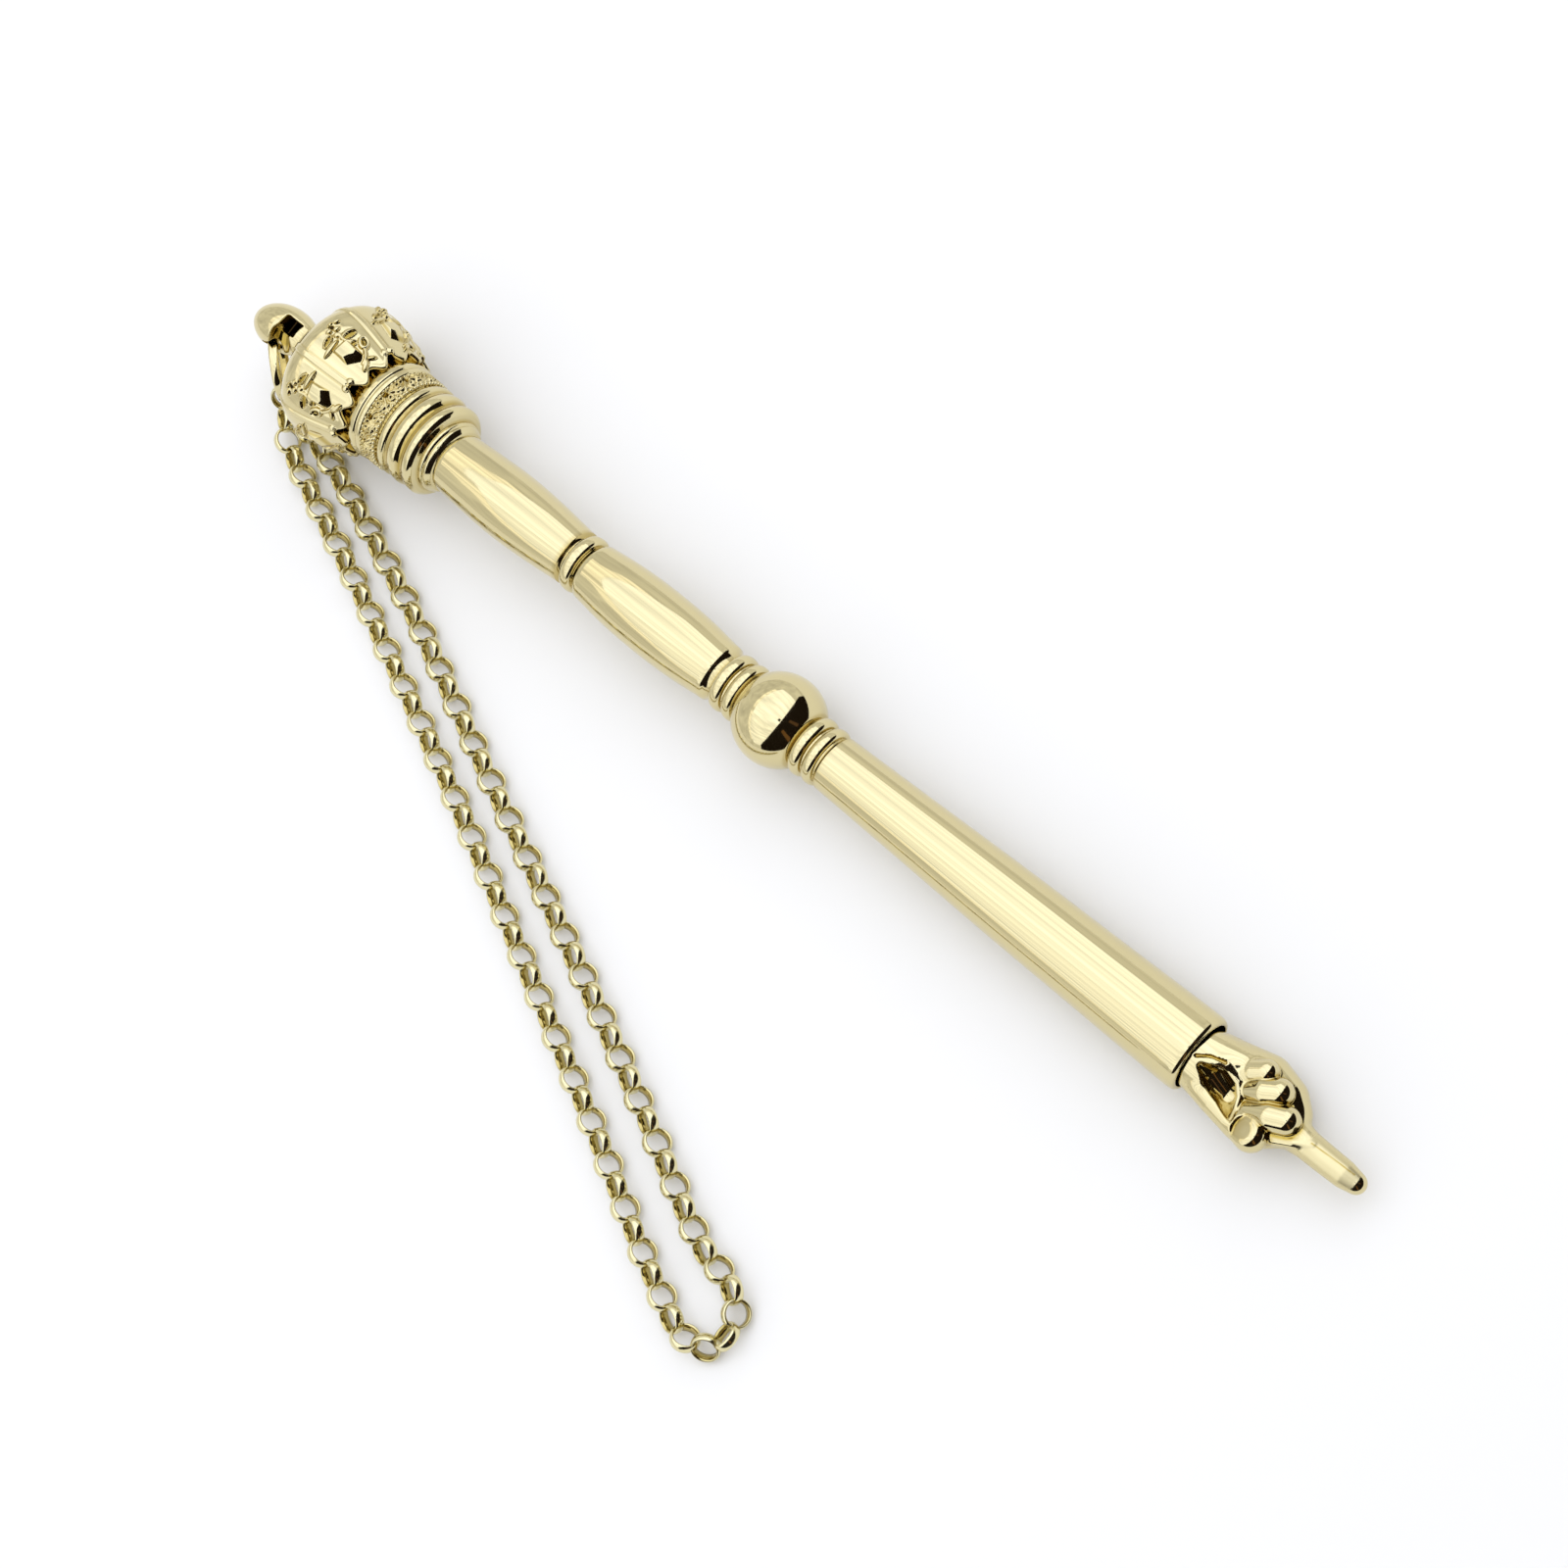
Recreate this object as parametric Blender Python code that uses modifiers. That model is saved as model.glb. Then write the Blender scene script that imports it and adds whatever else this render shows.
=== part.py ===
"""Torah pointer (yad), lying on a table: crown head, turned shaft, pointing hand, jump ring and belcher chain.

The pointer's own frame has its origin at the centre of the ball, local X along the pointer towards the
fingertip, Y across and Z up. Stations along it are given from the centre of the ball. A parent empty lays
the pointer down on two small flats, one under the crown's belly and one under the sleeve's rim. World
+Z is up, +X runs along the table towards the fingertip, and the origin is the middle of the crown's flat.
"""

import bisect
import math

import bmesh
import bpy
from mathutils import Matrix, Vector

MM = 0.001
GAP = 0.3 * MM

# Crown head, stations and radii
CROWN_TOP = -95.4 * MM
BELLY_STATION = -90.0 * MM
BELLY_RADIUS = 10.85 * MM
DOME_SQUARENESS = 2.15
SKIRT_END = -80.3 * MM
SKIRT_END_RADIUS = 8.5 * MM
SKIRT_END_SLOPE = -0.26
PANELS = 7
CROWN_TURN = math.radians(-6.2)
SCALLOPS_PER_PANEL = 2
SCALLOP_DEPTH = 1.75 * MM
ARCH_SHARPNESS = 1.8
ARCH_VARIATION = 0.14
SKIRT_THICKNESS = 0.75 * MM
RIB_HALF_ANGLE = math.radians(3.6)
RIB_HEIGHT = 0.4 * MM
SCROLL_HEIGHT = 0.45 * MM
COVE_RADIUS = 7.0 * MM
FLANGE_STATION = -79.05 * MM
FLANGE_RADIUS = 7.95 * MM
VINE_BAND = (-77.75 * MM, -74.75 * MM)
VINE_BAND_RADIUS = 7.5 * MM
# Crests of the three rings and the grooves beside them, as (station, radius)
BASE_RINGS = (
    (-74.5 * MM, 7.1 * MM),
    (-73.6 * MM, 7.5 * MM),
    (-72.7 * MM, 7.1 * MM),
    (-71.3 * MM, 7.5 * MM),
    (-70.0 * MM, 6.92 * MM),
    (-68.5 * MM, 7.33 * MM),
    (-67.4 * MM, 6.3 * MM),
)
COLLAR_START = (-67.25 * MM, 5.78 * MM)
COLLAR_END = (-66.3 * MM, 5.5 * MM)
CROWN_BASE = -65.7 * MM
CROWN_BASE_RADIUS = 5.15 * MM

# Finial knob
KNOB_CENTRE = Vector((-102.4, -0.3, 0.6)) * MM
KNOB_SEMI_AXES = Vector((5.5, 3.6, 3.8)) * MM
KNOB_TURN = math.radians(12)
KNOB_NECK_RADIUS = 2.6 * MM
KNOB_RING_HOLE_RADIUS = 2.1 * MM
RING_SAG = 0.5 * MM
KNOB_WINDOW_SIZE = Vector((3.2, 2.8, 6.0)) * MM
KNOB_WINDOW_CENTRE = Vector((-100.1, 0.5, 3.6)) * MM

# Shaft
SHAFT_TOP = CROWN_BASE + GAP
BALUSTERS = ((-65.2 * MM, -41.8 * MM), (-36.3 * MM, -11.0 * MM))
BALUSTER_END_RADIUS = 4.4 * MM
BALUSTER_BELLY_RADIUS = 5.18 * MM
BALUSTER_ROWS = 6
BEADS = (
    (-38.5 * MM, 1.0 * MM, 4.36 * MM),
    (-8.1 * MM, 1.0 * MM, 4.35 * MM),
    (-6.0 * MM, 0.9 * MM, 4.35 * MM),
    (6.8 * MM, 1.1 * MM, 4.45 * MM),
    (9.2 * MM, 0.9 * MM, 4.3 * MM),
)
BEAD_FOOT_RADIUS = 4.0 * MM
BALL_RADIUS = 6.72 * MM
BALL_END_STATION = 5.1 * MM
SLEEVE_START = 10.2 * MM
SLEEVE_START_RADIUS = 4.12 * MM
SLEEVE_SHOULDER = 20.0 * MM
SLEEVE_SHOULDER_RADIUS = 4.44 * MM
SLEEVE_RIM_STATION = 72.6 * MM
SLEEVE_RIM_RADIUS = 5.65 * MM
SLEEVE_END = 75.0 * MM
SOCKET_RADIUS = 4.85 * MM
SOCKET_DEPTH = 3.0 * MM

# Lying pose
CROWN_FLAT_DEPTH = 0.3 * MM
RIM_FLAT_DEPTH = 0.15 * MM

# Hand, in the pointer's frame: each limb is a run of balls (x, y, z, radius) in millimetres, joined in order
WRIST_CUT = SLEEVE_END - SOCKET_DEPTH + GAP
HAND_LIMBS = {
    "wrist": ((71.0, -0.15, 0.0, 4.2), (74.6, -0.15, 0.0, 4.2), (76.6, -0.15, -0.15, 4.3)),
    "back of the hand": ((77.0, 0.0, -0.9, 3.9), (82.0, 0.0, -1.3, 3.5), (88.0, 0.2, -1.3, 2.9)),
    "little finger side": (
        (77.5, 1.0, -0.7, 3.8),
        (83.0, 2.8, -1.2, 3.5),
        (86.2, 2.3, -1.2, 3.2),
        (88.6, 1.1, -0.9, 2.6),
    ),
    "thumb side": ((79.0, -2.2, -1.5, 2.5), (85.5, -3.2, -0.8, 2.5), (88.6, -0.6, -0.5, 2.4)),
    "index root": ((88.0, 0.0, -0.5, 2.6), (91.2, -0.25, -0.1, 2.05)),
    "index finger": (
        (91.0, -0.3, 0.0, 2.0),
        (95.0, -0.35, 0.0, 1.95),
        (98.0, -0.34, 0.0, 1.9),
        (99.8, -0.3, 0.0, 1.75),
    ),
    "heel of the palm": ((75.4, 1.5, 1.2, 2.4), (79.8, 2.5, 0.9, 2.0)),
    "ball of the thumb": ((75.6, -2.5, 0.6, 2.0), (80.0, -3.35, 1.0, 1.9), (83.8, -3.95, 1.1, 1.85)),
    "thumb": ((83.6, -3.7, 0.9, 2.0), (86.2, -3.7, 1.45, 2.3)),
    "ridge to the index finger": ((88.6, -2.4, 0.9, 0.9), (91.0, -1.2, 1.35, 0.8), (93.2, 0.1, 1.45, 0.5)),
    "little finger": ((80.0, 1.6, 0.9, 1.45), (81.7, 2.7, 1.7, 1.6), (83.1, 3.6, 2.2, 1.65)),
    "ring finger": ((82.6, 0.4, 1.0, 1.6), (84.5, 1.6, 2.0, 1.95), (86.1, 2.6, 2.35, 1.9)),
    "middle finger": ((84.2, -1.7, 1.1, 1.6), (86.9, -0.5, 2.2, 1.95), (88.9, 0.4, 2.4, 1.9)),
}
# The almond-shaped hollow of the palm, cut out as a run of balls
PALM_HOLLOW = ((76.5, -0.95, 4.1, 0.5), (79.0, -1.1, 3.2, 1.7), (81.0, -1.7, 2.2, 1.7), (83.5, -4.0, 3.2, 0.3))
HAND_VOXEL = 0.3 * MM
HAND_DECIMATE = 0.036

# Jump ring
RING_CENTRE = Vector((-12.6, -5.0, 6.8)) * MM
RING_NORMAL = Vector((0.62, 0.70, -0.30))
RING_RADIUS = 5.6 * MM
RING_WIDTH = 1.5 * MM
RING_THICKNESS = 0.75 * MM
RING_STEPS = 18

# Belcher chain
LINK_INNER = 1.755 * MM
LINK_OUTER = 2.24 * MM
LINK_WIDTH = 1.5 * MM
LINK_SIDES = 6
LINK_NARROWING = 0.89
LINK_ROLL = math.radians(45)
LINK_COUNT = 99
PAIR_OVERLAP = 0.08 * MM
BEND_ROOM = 1.2 * MM
# Points that the chain's middle line passes, in millimetres: x, y and the height that it is lifted off the table
CHAIN_ROUTE = (
    (-9.8, -8.4, 2.6),
    (-8.2, -10.8, 1.4),
    (-6.2, -13.2, 0.3),
    (-2.9, -14.9, 0.0),
    (5.8, -18.2, 0.0),
    (17.7, -22.6, 0.0),
    (30.2, -27.6, 0.0),
    (54.7, -37.5, 0.0),
    (78.9, -48.1, 0.0),
    (103.0, -58.7, 0.0),
    (118.4, -66.0, 0.0),
    (126.0, -69.3, 0.0),
    (132.3, -71.6, 0.0),
    (136.4, -70.6, 0.0),
    (137.6, -67.0, 0.0),
    (135.6, -63.5, 0.0),
    (131.4, -62.0, 0.0),
    (125.0, -60.4, 0.0),
    (107.0, -52.4, 0.0),
    (82.8, -42.3, 0.0),
    (57.8, -32.4, 0.0),
    (34.1, -22.7, 0.0),
    (16.1, -16.2, 0.0),
    (7.1, -13.2, 0.0),
    (0.6, -11.4, 0.0),
    (-3.9, -10.1, 0.7),
    (-7.1, -8.7, 1.9),
    (-9.8, -8.4, 2.6),
)
ROUTE_SAMPLES_PER_SPAN = 60
SPACING_ROUNDS = 6
PLAY_ROUNDS = 16


# ---------------------------------------------------------------- general helpers


def clear_scene():
    for old in list(bpy.data.objects):
        bpy.data.objects.remove(old, do_unlink=True)


def collection(name):
    made = bpy.data.collections.new(name)
    bpy.context.scene.collection.children.link(made)
    return made


def plated_metal(name, colour, roughness):
    made = bpy.data.materials.new(name)
    made.use_nodes = True
    shader = made.node_tree.nodes["Principled BSDF"]
    shader.inputs["Base Color"].default_value = (*colour, 1.0)
    shader.inputs["Metallic"].default_value = 1.0
    shader.inputs["Roughness"].default_value = roughness
    return made


def add_object(name, mesh, home, material=None, parent=None):
    made = bpy.data.objects.new(name, mesh)
    home.objects.link(made)
    if material is not None:
        mesh.materials.clear()
        mesh.materials.append(material)
    made.parent = parent
    return made


def smooth_round_faces(mesh):
    mesh.shade_smooth()
    mesh.set_sharp_from_angle(angle=math.radians(35))


def add_cutter(name, mesh, home, parent=None):
    cutter = add_object(name, mesh, home, parent=parent)
    cutter.hide_render = True
    cutter.display_type = "WIRE"
    return cutter


def boolean(target, other, operation):
    step = target.modifiers.new(f"{operation.title()} {other.name}", "BOOLEAN")
    step.operation = operation
    step.solver = "EXACT"
    step.object = other


def box_mesh(name, low, high):
    shape = bmesh.new()
    middle = (low + high) / 2
    size = high - low
    bmesh.ops.create_cube(shape, size=1.0, matrix=Matrix.Translation(middle) @ Matrix.Diagonal((*size, 1.0)))
    return finished_mesh(name, shape)


def finished_mesh(name, shape):
    bmesh.ops.recalc_face_normals(shape, faces=shape.faces)
    mesh = bpy.data.meshes.new(name)
    shape.to_mesh(mesh)
    shape.free()
    return mesh


def turned_mesh(name, outline, steps, closed_loop=False):
    """Turns an outline of (station, radius) about local X: stations run down the outer side of the piece."""
    shape = bmesh.new()
    corners = [shape.verts.new((radius, 0.0, -station)) for station, radius in outline]
    for first, second in zip(corners, corners[1:]):
        shape.edges.new((first, second))
    if closed_loop:
        shape.edges.new((corners[-1], corners[0]))
    profile = bpy.data.meshes.new(name + " outline")
    shape.to_mesh(profile)
    shape.free()
    lathe = bpy.data.objects.new(name + " lathe", profile)
    bpy.context.scene.collection.objects.link(lathe)
    screw = lathe.modifiers.new("Turn", "SCREW")
    screw.steps = steps
    screw.render_steps = steps
    screw.use_merge_vertices = True
    screw.merge_threshold = 0.00001
    mesh = bpy.data.meshes.new_from_object(lathe.evaluated_get(bpy.context.evaluated_depsgraph_get()))
    mesh.name = name
    bpy.data.objects.remove(lathe, do_unlink=True)
    bpy.data.meshes.remove(profile)
    # The lathe's axis, local -Z down the outline, is laid along +X.
    mesh.transform(Matrix.Rotation(math.radians(-90), 4, "Y"))
    return mesh


def ring_loft_mesh(name, rings, first_point, last_point):
    """Skins rings of equal point counts, one after another along X, and closes both ends with a fan."""
    shape = bmesh.new()
    rows = [[shape.verts.new(point) for point in ring] for ring in rings]
    count = len(rows[0])
    for near, far in zip(rows, rows[1:]):
        for index in range(count):
            following = (index + 1) % count
            shape.faces.new((near[index], near[following], far[following], far[index]))
    first = shape.verts.new(first_point)
    last = shape.verts.new(last_point)
    for index in range(count):
        following = (index + 1) % count
        shape.faces.new((first, rows[0][following], rows[0][index]))
        shape.faces.new((last, rows[-1][index], rows[-1][following]))
    return finished_mesh(name, shape)


# ---------------------------------------------------------------- crown head


def dome_radius(station):
    """Radius of the bulb: a squared ellipse above the belly and a falling curve below it."""
    if station <= BELLY_STATION:
        rise = (BELLY_STATION - station) / (BELLY_STATION - CROWN_TOP)
        return BELLY_RADIUS * max(0.0, 1.0 - rise**DOME_SQUARENESS) ** (1 / DOME_SQUARENESS)
    length = SKIRT_END - BELLY_STATION
    t = (station - BELLY_STATION) / length
    blend = t * t * (3 - 2 * t)
    return (
        BELLY_RADIUS * (1 - blend)
        + SKIRT_END_RADIUS * blend
        + SKIRT_END_SLOPE * length * t * t * (t - 1)
    )


def crown_angles():
    """Angles of the crown's columns: in each panel a rib's two feet and ridge, two scallops and the middle."""
    panel = math.tau / PANELS
    scallop = panel / (2 * SCALLOPS_PER_PANEL)
    offsets = (-RIB_HALF_ANGLE, 0.0, RIB_HALF_ANGLE, scallop, 2 * scallop, 3 * scallop)
    return [panel * index + offset for index in range(PANELS) for offset in offsets]


def scallop_edge(angle):
    """Station of the skirt's lower edge, drawn up in arches at the ribs and, a little less, at the panel middles."""
    nearness = abs(math.sin(angle * PANELS * SCALLOPS_PER_PANEL / 2))
    height = SCALLOP_DEPTH * (1 - ARCH_VARIATION * (1 - math.cos(angle * PANELS)))
    return SKIRT_END - height * (1 - nearness**ARCH_SHARPNESS)


def on_rib(angle):
    panel = math.tau / PANELS
    return abs((angle + panel / 2) % panel - panel / 2) < RIB_HALF_ANGLE / 2


def at_panel_middle(angle):
    panel = math.tau / PANELS
    return abs(angle % panel - panel / 2) < RIB_HALF_ANGLE / 2


def crown_ring(station_of, radius_of):
    """One ring of the crown; both arguments take the column's angle."""
    ring = []
    for angle in crown_angles():
        radius = radius_of(angle)
        place = angle + CROWN_TURN
        ring.append(Vector((station_of(angle), radius * math.sin(place), radius * math.cos(place))))
    return ring


def round_ring(station, radius):
    return crown_ring(lambda angle: station, lambda angle: radius)


def dome_rings():
    """Rings of the bulb from near its top to the scalloped edge, with the ribs and the scrolls' mass raised."""
    rings = []
    for share in (0.25, 0.6, 1.0):
        rings.append(round_ring(*dome_point(share)))
    for share in (0.3, 0.7):

        def station(angle, share=share):
            return BELLY_STATION + share * (scallop_edge(angle) - BELLY_STATION)

        def radius(angle, station=station, share=share):
            raised = RIB_HEIGHT if on_rib(angle) else 0.0
            if at_panel_middle(angle):
                raised = SCROLL_HEIGHT
            return dome_radius(station(angle)) + raised

        rings.append(crown_ring(station, radius))
    rings.append(crown_ring(scallop_edge, lambda angle: dome_radius(scallop_edge(angle))))
    rings.append(crown_ring(scallop_edge, lambda angle: dome_radius(scallop_edge(angle)) - SKIRT_THICKNESS))
    return rings


def dome_point(share):
    """A point of the bulb above the belly, by its share of the quarter turn from the top."""
    station = BELLY_STATION - (BELLY_STATION - CROWN_TOP) * math.cos(share * math.pi / 2)
    return station, dome_radius(station)


def crown_base_outline():
    """Cove, flange, vine band, three rings and collar below the skirt, as (station, radius)."""
    band_start, band_end = VINE_BAND
    return (
        (-80.5 * MM, COVE_RADIUS),
        (-80.1 * MM, FLANGE_RADIUS - 0.1 * MM),
        (FLANGE_STATION, FLANGE_RADIUS),
        (band_start, VINE_BAND_RADIUS),
        (band_end, VINE_BAND_RADIUS),
        *BASE_RINGS,
        COLLAR_START,
        COLLAR_END,
        (CROWN_BASE, CROWN_BASE_RADIUS),
    )


def crown_body_mesh():
    rings = dome_rings()
    rings += [round_ring(station, radius) for station, radius in crown_base_outline()]
    return ring_loft_mesh("crown_head", rings, Vector((CROWN_TOP, 0, 0)), Vector((CROWN_BASE, 0, 0)))


def knob_mesh():
    shape = bmesh.new()
    place = Matrix.Translation(KNOB_CENTRE) @ Matrix.Rotation(KNOB_TURN, 4, "Z")
    place = place @ Matrix.Diagonal((*KNOB_SEMI_AXES, 1.0))
    turn = Matrix.Rotation(math.radians(90), 4, "Y")
    bmesh.ops.create_uvsphere(shape, u_segments=14, v_segments=8, radius=1.0, matrix=place @ turn)
    return finished_mesh("Finial knob", shape)


def neck_mesh():
    """Short neck between the knob and the top of the bulb."""
    inside_bulb = CROWN_TOP + 1.5 * MM
    outline = (
        (KNOB_CENTRE.x + 1.0 * MM, 0.0),
        (KNOB_CENTRE.x + 1.0 * MM, KNOB_NECK_RADIUS),
        (CROWN_TOP - 1.2 * MM, KNOB_NECK_RADIUS),
        (CROWN_TOP + 0.3 * MM, 1.5 * KNOB_NECK_RADIUS),
        (inside_bulb, 1.5 * KNOB_NECK_RADIUS),
        (inside_bulb, 0.0),
    )
    return turned_mesh("Finial neck", outline, 12)


def ring_hole_mesh(pose):
    """A straight bar along the jump ring's path, drilled where the ring comes nearest to the knob's middle."""
    inverse = pose.inverted()
    axis = RING_NORMAL.normalized()
    outwards = pose @ KNOB_CENTRE - RING_CENTRE
    outwards = (outwards - axis * outwards.dot(axis)).normalized()
    nearest = inverse @ (RING_CENTRE + outwards * (RING_RADIUS - RING_THICKNESS / 2 - RING_SAG))
    direction = inverse.to_3x3() @ axis.cross(outwards)
    shape = bmesh.new()
    bmesh.ops.create_cone(
        shape,
        cap_ends=True,
        segments=10,
        radius1=KNOB_RING_HOLE_RADIUS,
        radius2=KNOB_RING_HOLE_RADIUS,
        depth=20 * MM,
        matrix=Matrix.Translation(nearest) @ direction.to_track_quat("Z", "Y").to_matrix().to_4x4(),
    )
    return finished_mesh("Ring hole", shape)


def build_crown(parts, cutters, lying, pose, gold, table):
    mesh = crown_body_mesh()
    crown = add_object("crown_head", mesh, parts, gold, lying)
    for name, piece in (("Knob", knob_mesh()), ("Neck", neck_mesh())):
        boolean(crown, add_cutter(name, piece, cutters, lying), "UNION")
    window = box_mesh(
        "Knob window", KNOB_WINDOW_CENTRE - KNOB_WINDOW_SIZE / 2, KNOB_WINDOW_CENTRE + KNOB_WINDOW_SIZE / 2
    )
    boolean(crown, add_cutter("Knob window", window, cutters, lying), "DIFFERENCE")
    boolean(crown, add_cutter("Ring hole", ring_hole_mesh(pose), cutters, lying), "DIFFERENCE")
    boolean(crown, table, "DIFFERENCE")
    smooth_round_faces(mesh)
    return crown


# ---------------------------------------------------------------- shaft


def baluster_outline(start, end):
    """A long swelling between two necks."""
    rows = []
    for index in range(BALUSTER_ROWS + 1):
        share = index / BALUSTER_ROWS
        swell = math.sin(math.pi * share) ** 0.8
        radius = BALUSTER_END_RADIUS + (BALUSTER_BELLY_RADIUS - BALUSTER_END_RADIUS) * swell
        rows.append((start + (end - start) * share, radius))
    return rows


def bead_outline(centre, half_width, radius):
    """A small half-round ring."""
    foot = BEAD_FOOT_RADIUS
    shoulder = foot + 0.75 * (radius - foot)
    return [
        (centre - half_width, foot),
        (centre - 0.55 * half_width, shoulder),
        (centre, radius),
        (centre + 0.55 * half_width, shoulder),
        (centre + half_width, foot),
    ]


def ball_outline():
    """The ball between the beads, as an arc."""
    rows = []
    limit = math.asin(BALL_END_STATION / BALL_RADIUS)
    steps = 8
    for index in range(steps + 1):
        angle = -limit + 2 * limit * index / steps
        rows.append((BALL_RADIUS * math.sin(angle), BALL_RADIUS * math.cos(angle)))
    return rows


def sleeve_outline():
    """The tapering sleeve, its rounded rim and the shallow socket that the hand sits in."""
    socket_floor = SLEEVE_END - SOCKET_DEPTH
    return [
        (SLEEVE_START, SLEEVE_START_RADIUS),
        (14.4 * MM, 4.18 * MM),
        (SLEEVE_SHOULDER, SLEEVE_SHOULDER_RADIUS),
        (45.0 * MM, 5.12 * MM),
        (68.0 * MM, 5.5 * MM),
        (SLEEVE_RIM_STATION, SLEEVE_RIM_RADIUS),
        (73.8 * MM, 5.58 * MM),
        (74.7 * MM, 5.2 * MM),
        (SLEEVE_END, SOCKET_RADIUS + 0.15 * MM),
        (SLEEVE_END, SOCKET_RADIUS),
        (socket_floor, SOCKET_RADIUS),
        (socket_floor, 0.0),
    ]


def shaft_outline():
    first_baluster, second_baluster = BALUSTERS
    astragal, upper_bead, upper_ball_bead, lower_ball_bead, lower_bead = BEADS
    outline = [(SHAFT_TOP, 0.0), (SHAFT_TOP, BALUSTER_END_RADIUS)]
    outline += baluster_outline(*first_baluster)
    outline += bead_outline(*astragal)
    outline += baluster_outline(*second_baluster)
    outline += bead_outline(*upper_bead)[:-1]
    outline += bead_outline(*upper_ball_bead)[:-1]
    outline += ball_outline()
    outline += bead_outline(*lower_ball_bead)[1:]
    outline += bead_outline(*lower_bead)[1:-1]
    outline += sleeve_outline()
    return outline


def build_shaft(parts, lying, gold, table):
    mesh = turned_mesh("shaft", shaft_outline(), 16)
    shaft = add_object("shaft", mesh, parts, gold, lying)
    boolean(shaft, table, "DIFFERENCE")
    smooth_round_faces(mesh)
    return shaft


# ---------------------------------------------------------------- hand


def limb_mesh(first, second):
    """The convex hull of two balls, given as (x, y, z, radius) in millimetres."""
    shape = bmesh.new()
    for x, y, z, radius in (first, second):
        place = Matrix.Translation(Vector((x, y, z)) * MM)
        bmesh.ops.create_icosphere(shape, subdivisions=3, radius=radius * MM, matrix=place)
    bmesh.ops.delete(shape, geom=list(shape.edges), context="EDGES_FACES")
    bmesh.ops.convex_hull(shape, input=list(shape.verts))
    inside = [corner for corner in shape.verts if not corner.link_faces]
    bmesh.ops.delete(shape, geom=inside, context="VERTS")
    return finished_mesh("Limb", shape)


def hand_mesh():
    shape = bmesh.new()
    for balls in HAND_LIMBS.values():
        for first, second in zip(balls, balls[1:]):
            limb = limb_mesh(first, second)
            shape.from_mesh(limb)
            bpy.data.meshes.remove(limb)
    mesh = bpy.data.meshes.new("hand")
    shape.to_mesh(mesh)
    shape.free()
    return mesh


def build_hand(parts, cutters, lying, gold):
    """The limbs are fused by a fine remesh, smoothed, thinned out and cut square at the wrist."""
    mesh = hand_mesh()
    hand = add_object("hand", mesh, parts, gold, lying)
    fuse = hand.modifiers.new("Fuse", "REMESH")
    fuse.mode = "VOXEL"
    fuse.voxel_size = HAND_VOXEL
    for index, (first, second) in enumerate(zip(PALM_HOLLOW, PALM_HOLLOW[1:])):
        name = f"Palm hollow {index}"
        boolean(hand, add_cutter(name, limb_mesh(first, second), cutters, lying), "DIFFERENCE")
    even_out = hand.modifiers.new("Even out", "REMESH")
    even_out.mode = "VOXEL"
    even_out.voxel_size = HAND_VOXEL
    soften = hand.modifiers.new("Soften", "SMOOTH")
    soften.factor = 0.5
    soften.iterations = 3
    thin = hand.modifiers.new("Thin out", "DECIMATE")
    thin.ratio = HAND_DECIMATE
    reach = 8 * MM
    stub = box_mesh(
        "Wrist cut", Vector((WRIST_CUT - reach, -reach, -reach)), Vector((WRIST_CUT, reach, reach))
    )
    boolean(hand, add_cutter("Wrist cut", stub, cutters, lying), "DIFFERENCE")
    return hand


# ---------------------------------------------------------------- jump ring and chain


def band_ring_mesh(name, outside, inner, width, steps):
    """A ring about local X: the outside is a run of (station, radius), and the inside is a flat band."""
    section = (*outside, (width / 2, inner), (-width / 2, inner))
    return turned_mesh(name, section, steps, closed_loop=True)


def build_jump_ring(parts, gold):
    outside = ((-0.35 * RING_WIDTH, RING_RADIUS), (0.35 * RING_WIDTH, RING_RADIUS))
    mesh = band_ring_mesh("jump_ring", outside, RING_RADIUS - RING_THICKNESS, RING_WIDTH, RING_STEPS)
    ring = add_object("jump_ring", mesh, parts, gold)
    ring.location = RING_CENTRE
    ring.rotation_mode = "QUATERNION"
    ring.rotation_quaternion = RING_NORMAL.to_track_quat("X", "Z")
    smooth_round_faces(mesh)
    return ring


def link_mesh():
    """One link: its hole's axis is local Z and the chain runs along local X, square to two of its six sides."""
    widening = 1 / math.cos(math.pi / LINK_SIDES)
    ridge = ((0.0, LINK_OUTER * widening),)
    mesh = band_ring_mesh("Link", ridge, LINK_INNER * widening, LINK_WIDTH, LINK_SIDES)
    mesh.transform(Matrix.Rotation(math.radians(90), 4, "Y"))
    mesh.transform(Matrix.Rotation(math.pi / LINK_SIDES, 4, "Z"))
    mesh.transform(Matrix.Diagonal((1.0, LINK_NARROWING, 1.0, 1.0)))
    return mesh


def smooth_route():
    """Points of a Catmull-Rom curve through CHAIN_ROUTE, with the length along it at each point."""
    anchors = [Vector(point) * MM for point in CHAIN_ROUTE]
    anchors = [2 * anchors[0] - anchors[1]] + anchors + [2 * anchors[-1] - anchors[-2]]
    points = []
    for before, start, end, after in zip(anchors, anchors[1:], anchors[2:], anchors[3:]):
        for index in range(ROUTE_SAMPLES_PER_SPAN):
            t = index / ROUTE_SAMPLES_PER_SPAN
            points.append(
                0.5
                * (
                    2 * start
                    + (end - before) * t
                    + (2 * before - 5 * start + 4 * end - after) * t**2
                    + (3 * start - before - 3 * end + after) * t**3
                )
            )
    points.append(anchors[-2])
    for point in points:
        point.z = max(0.0, point.z)
    lengths = [0.0]
    for first, second in zip(points, points[1:]):
        lengths.append(lengths[-1] + (second - first).length)
    return points, lengths


def point_at(points, lengths, distance):
    """The route's point at this distance along it, straight on beyond either end."""
    index = min(max(bisect.bisect_left(lengths, distance), 1), len(lengths) - 1)
    share = (distance - lengths[index - 1]) / (lengths[index] - lengths[index - 1])
    return points[index - 1] + (points[index] - points[index - 1]) * share


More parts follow.
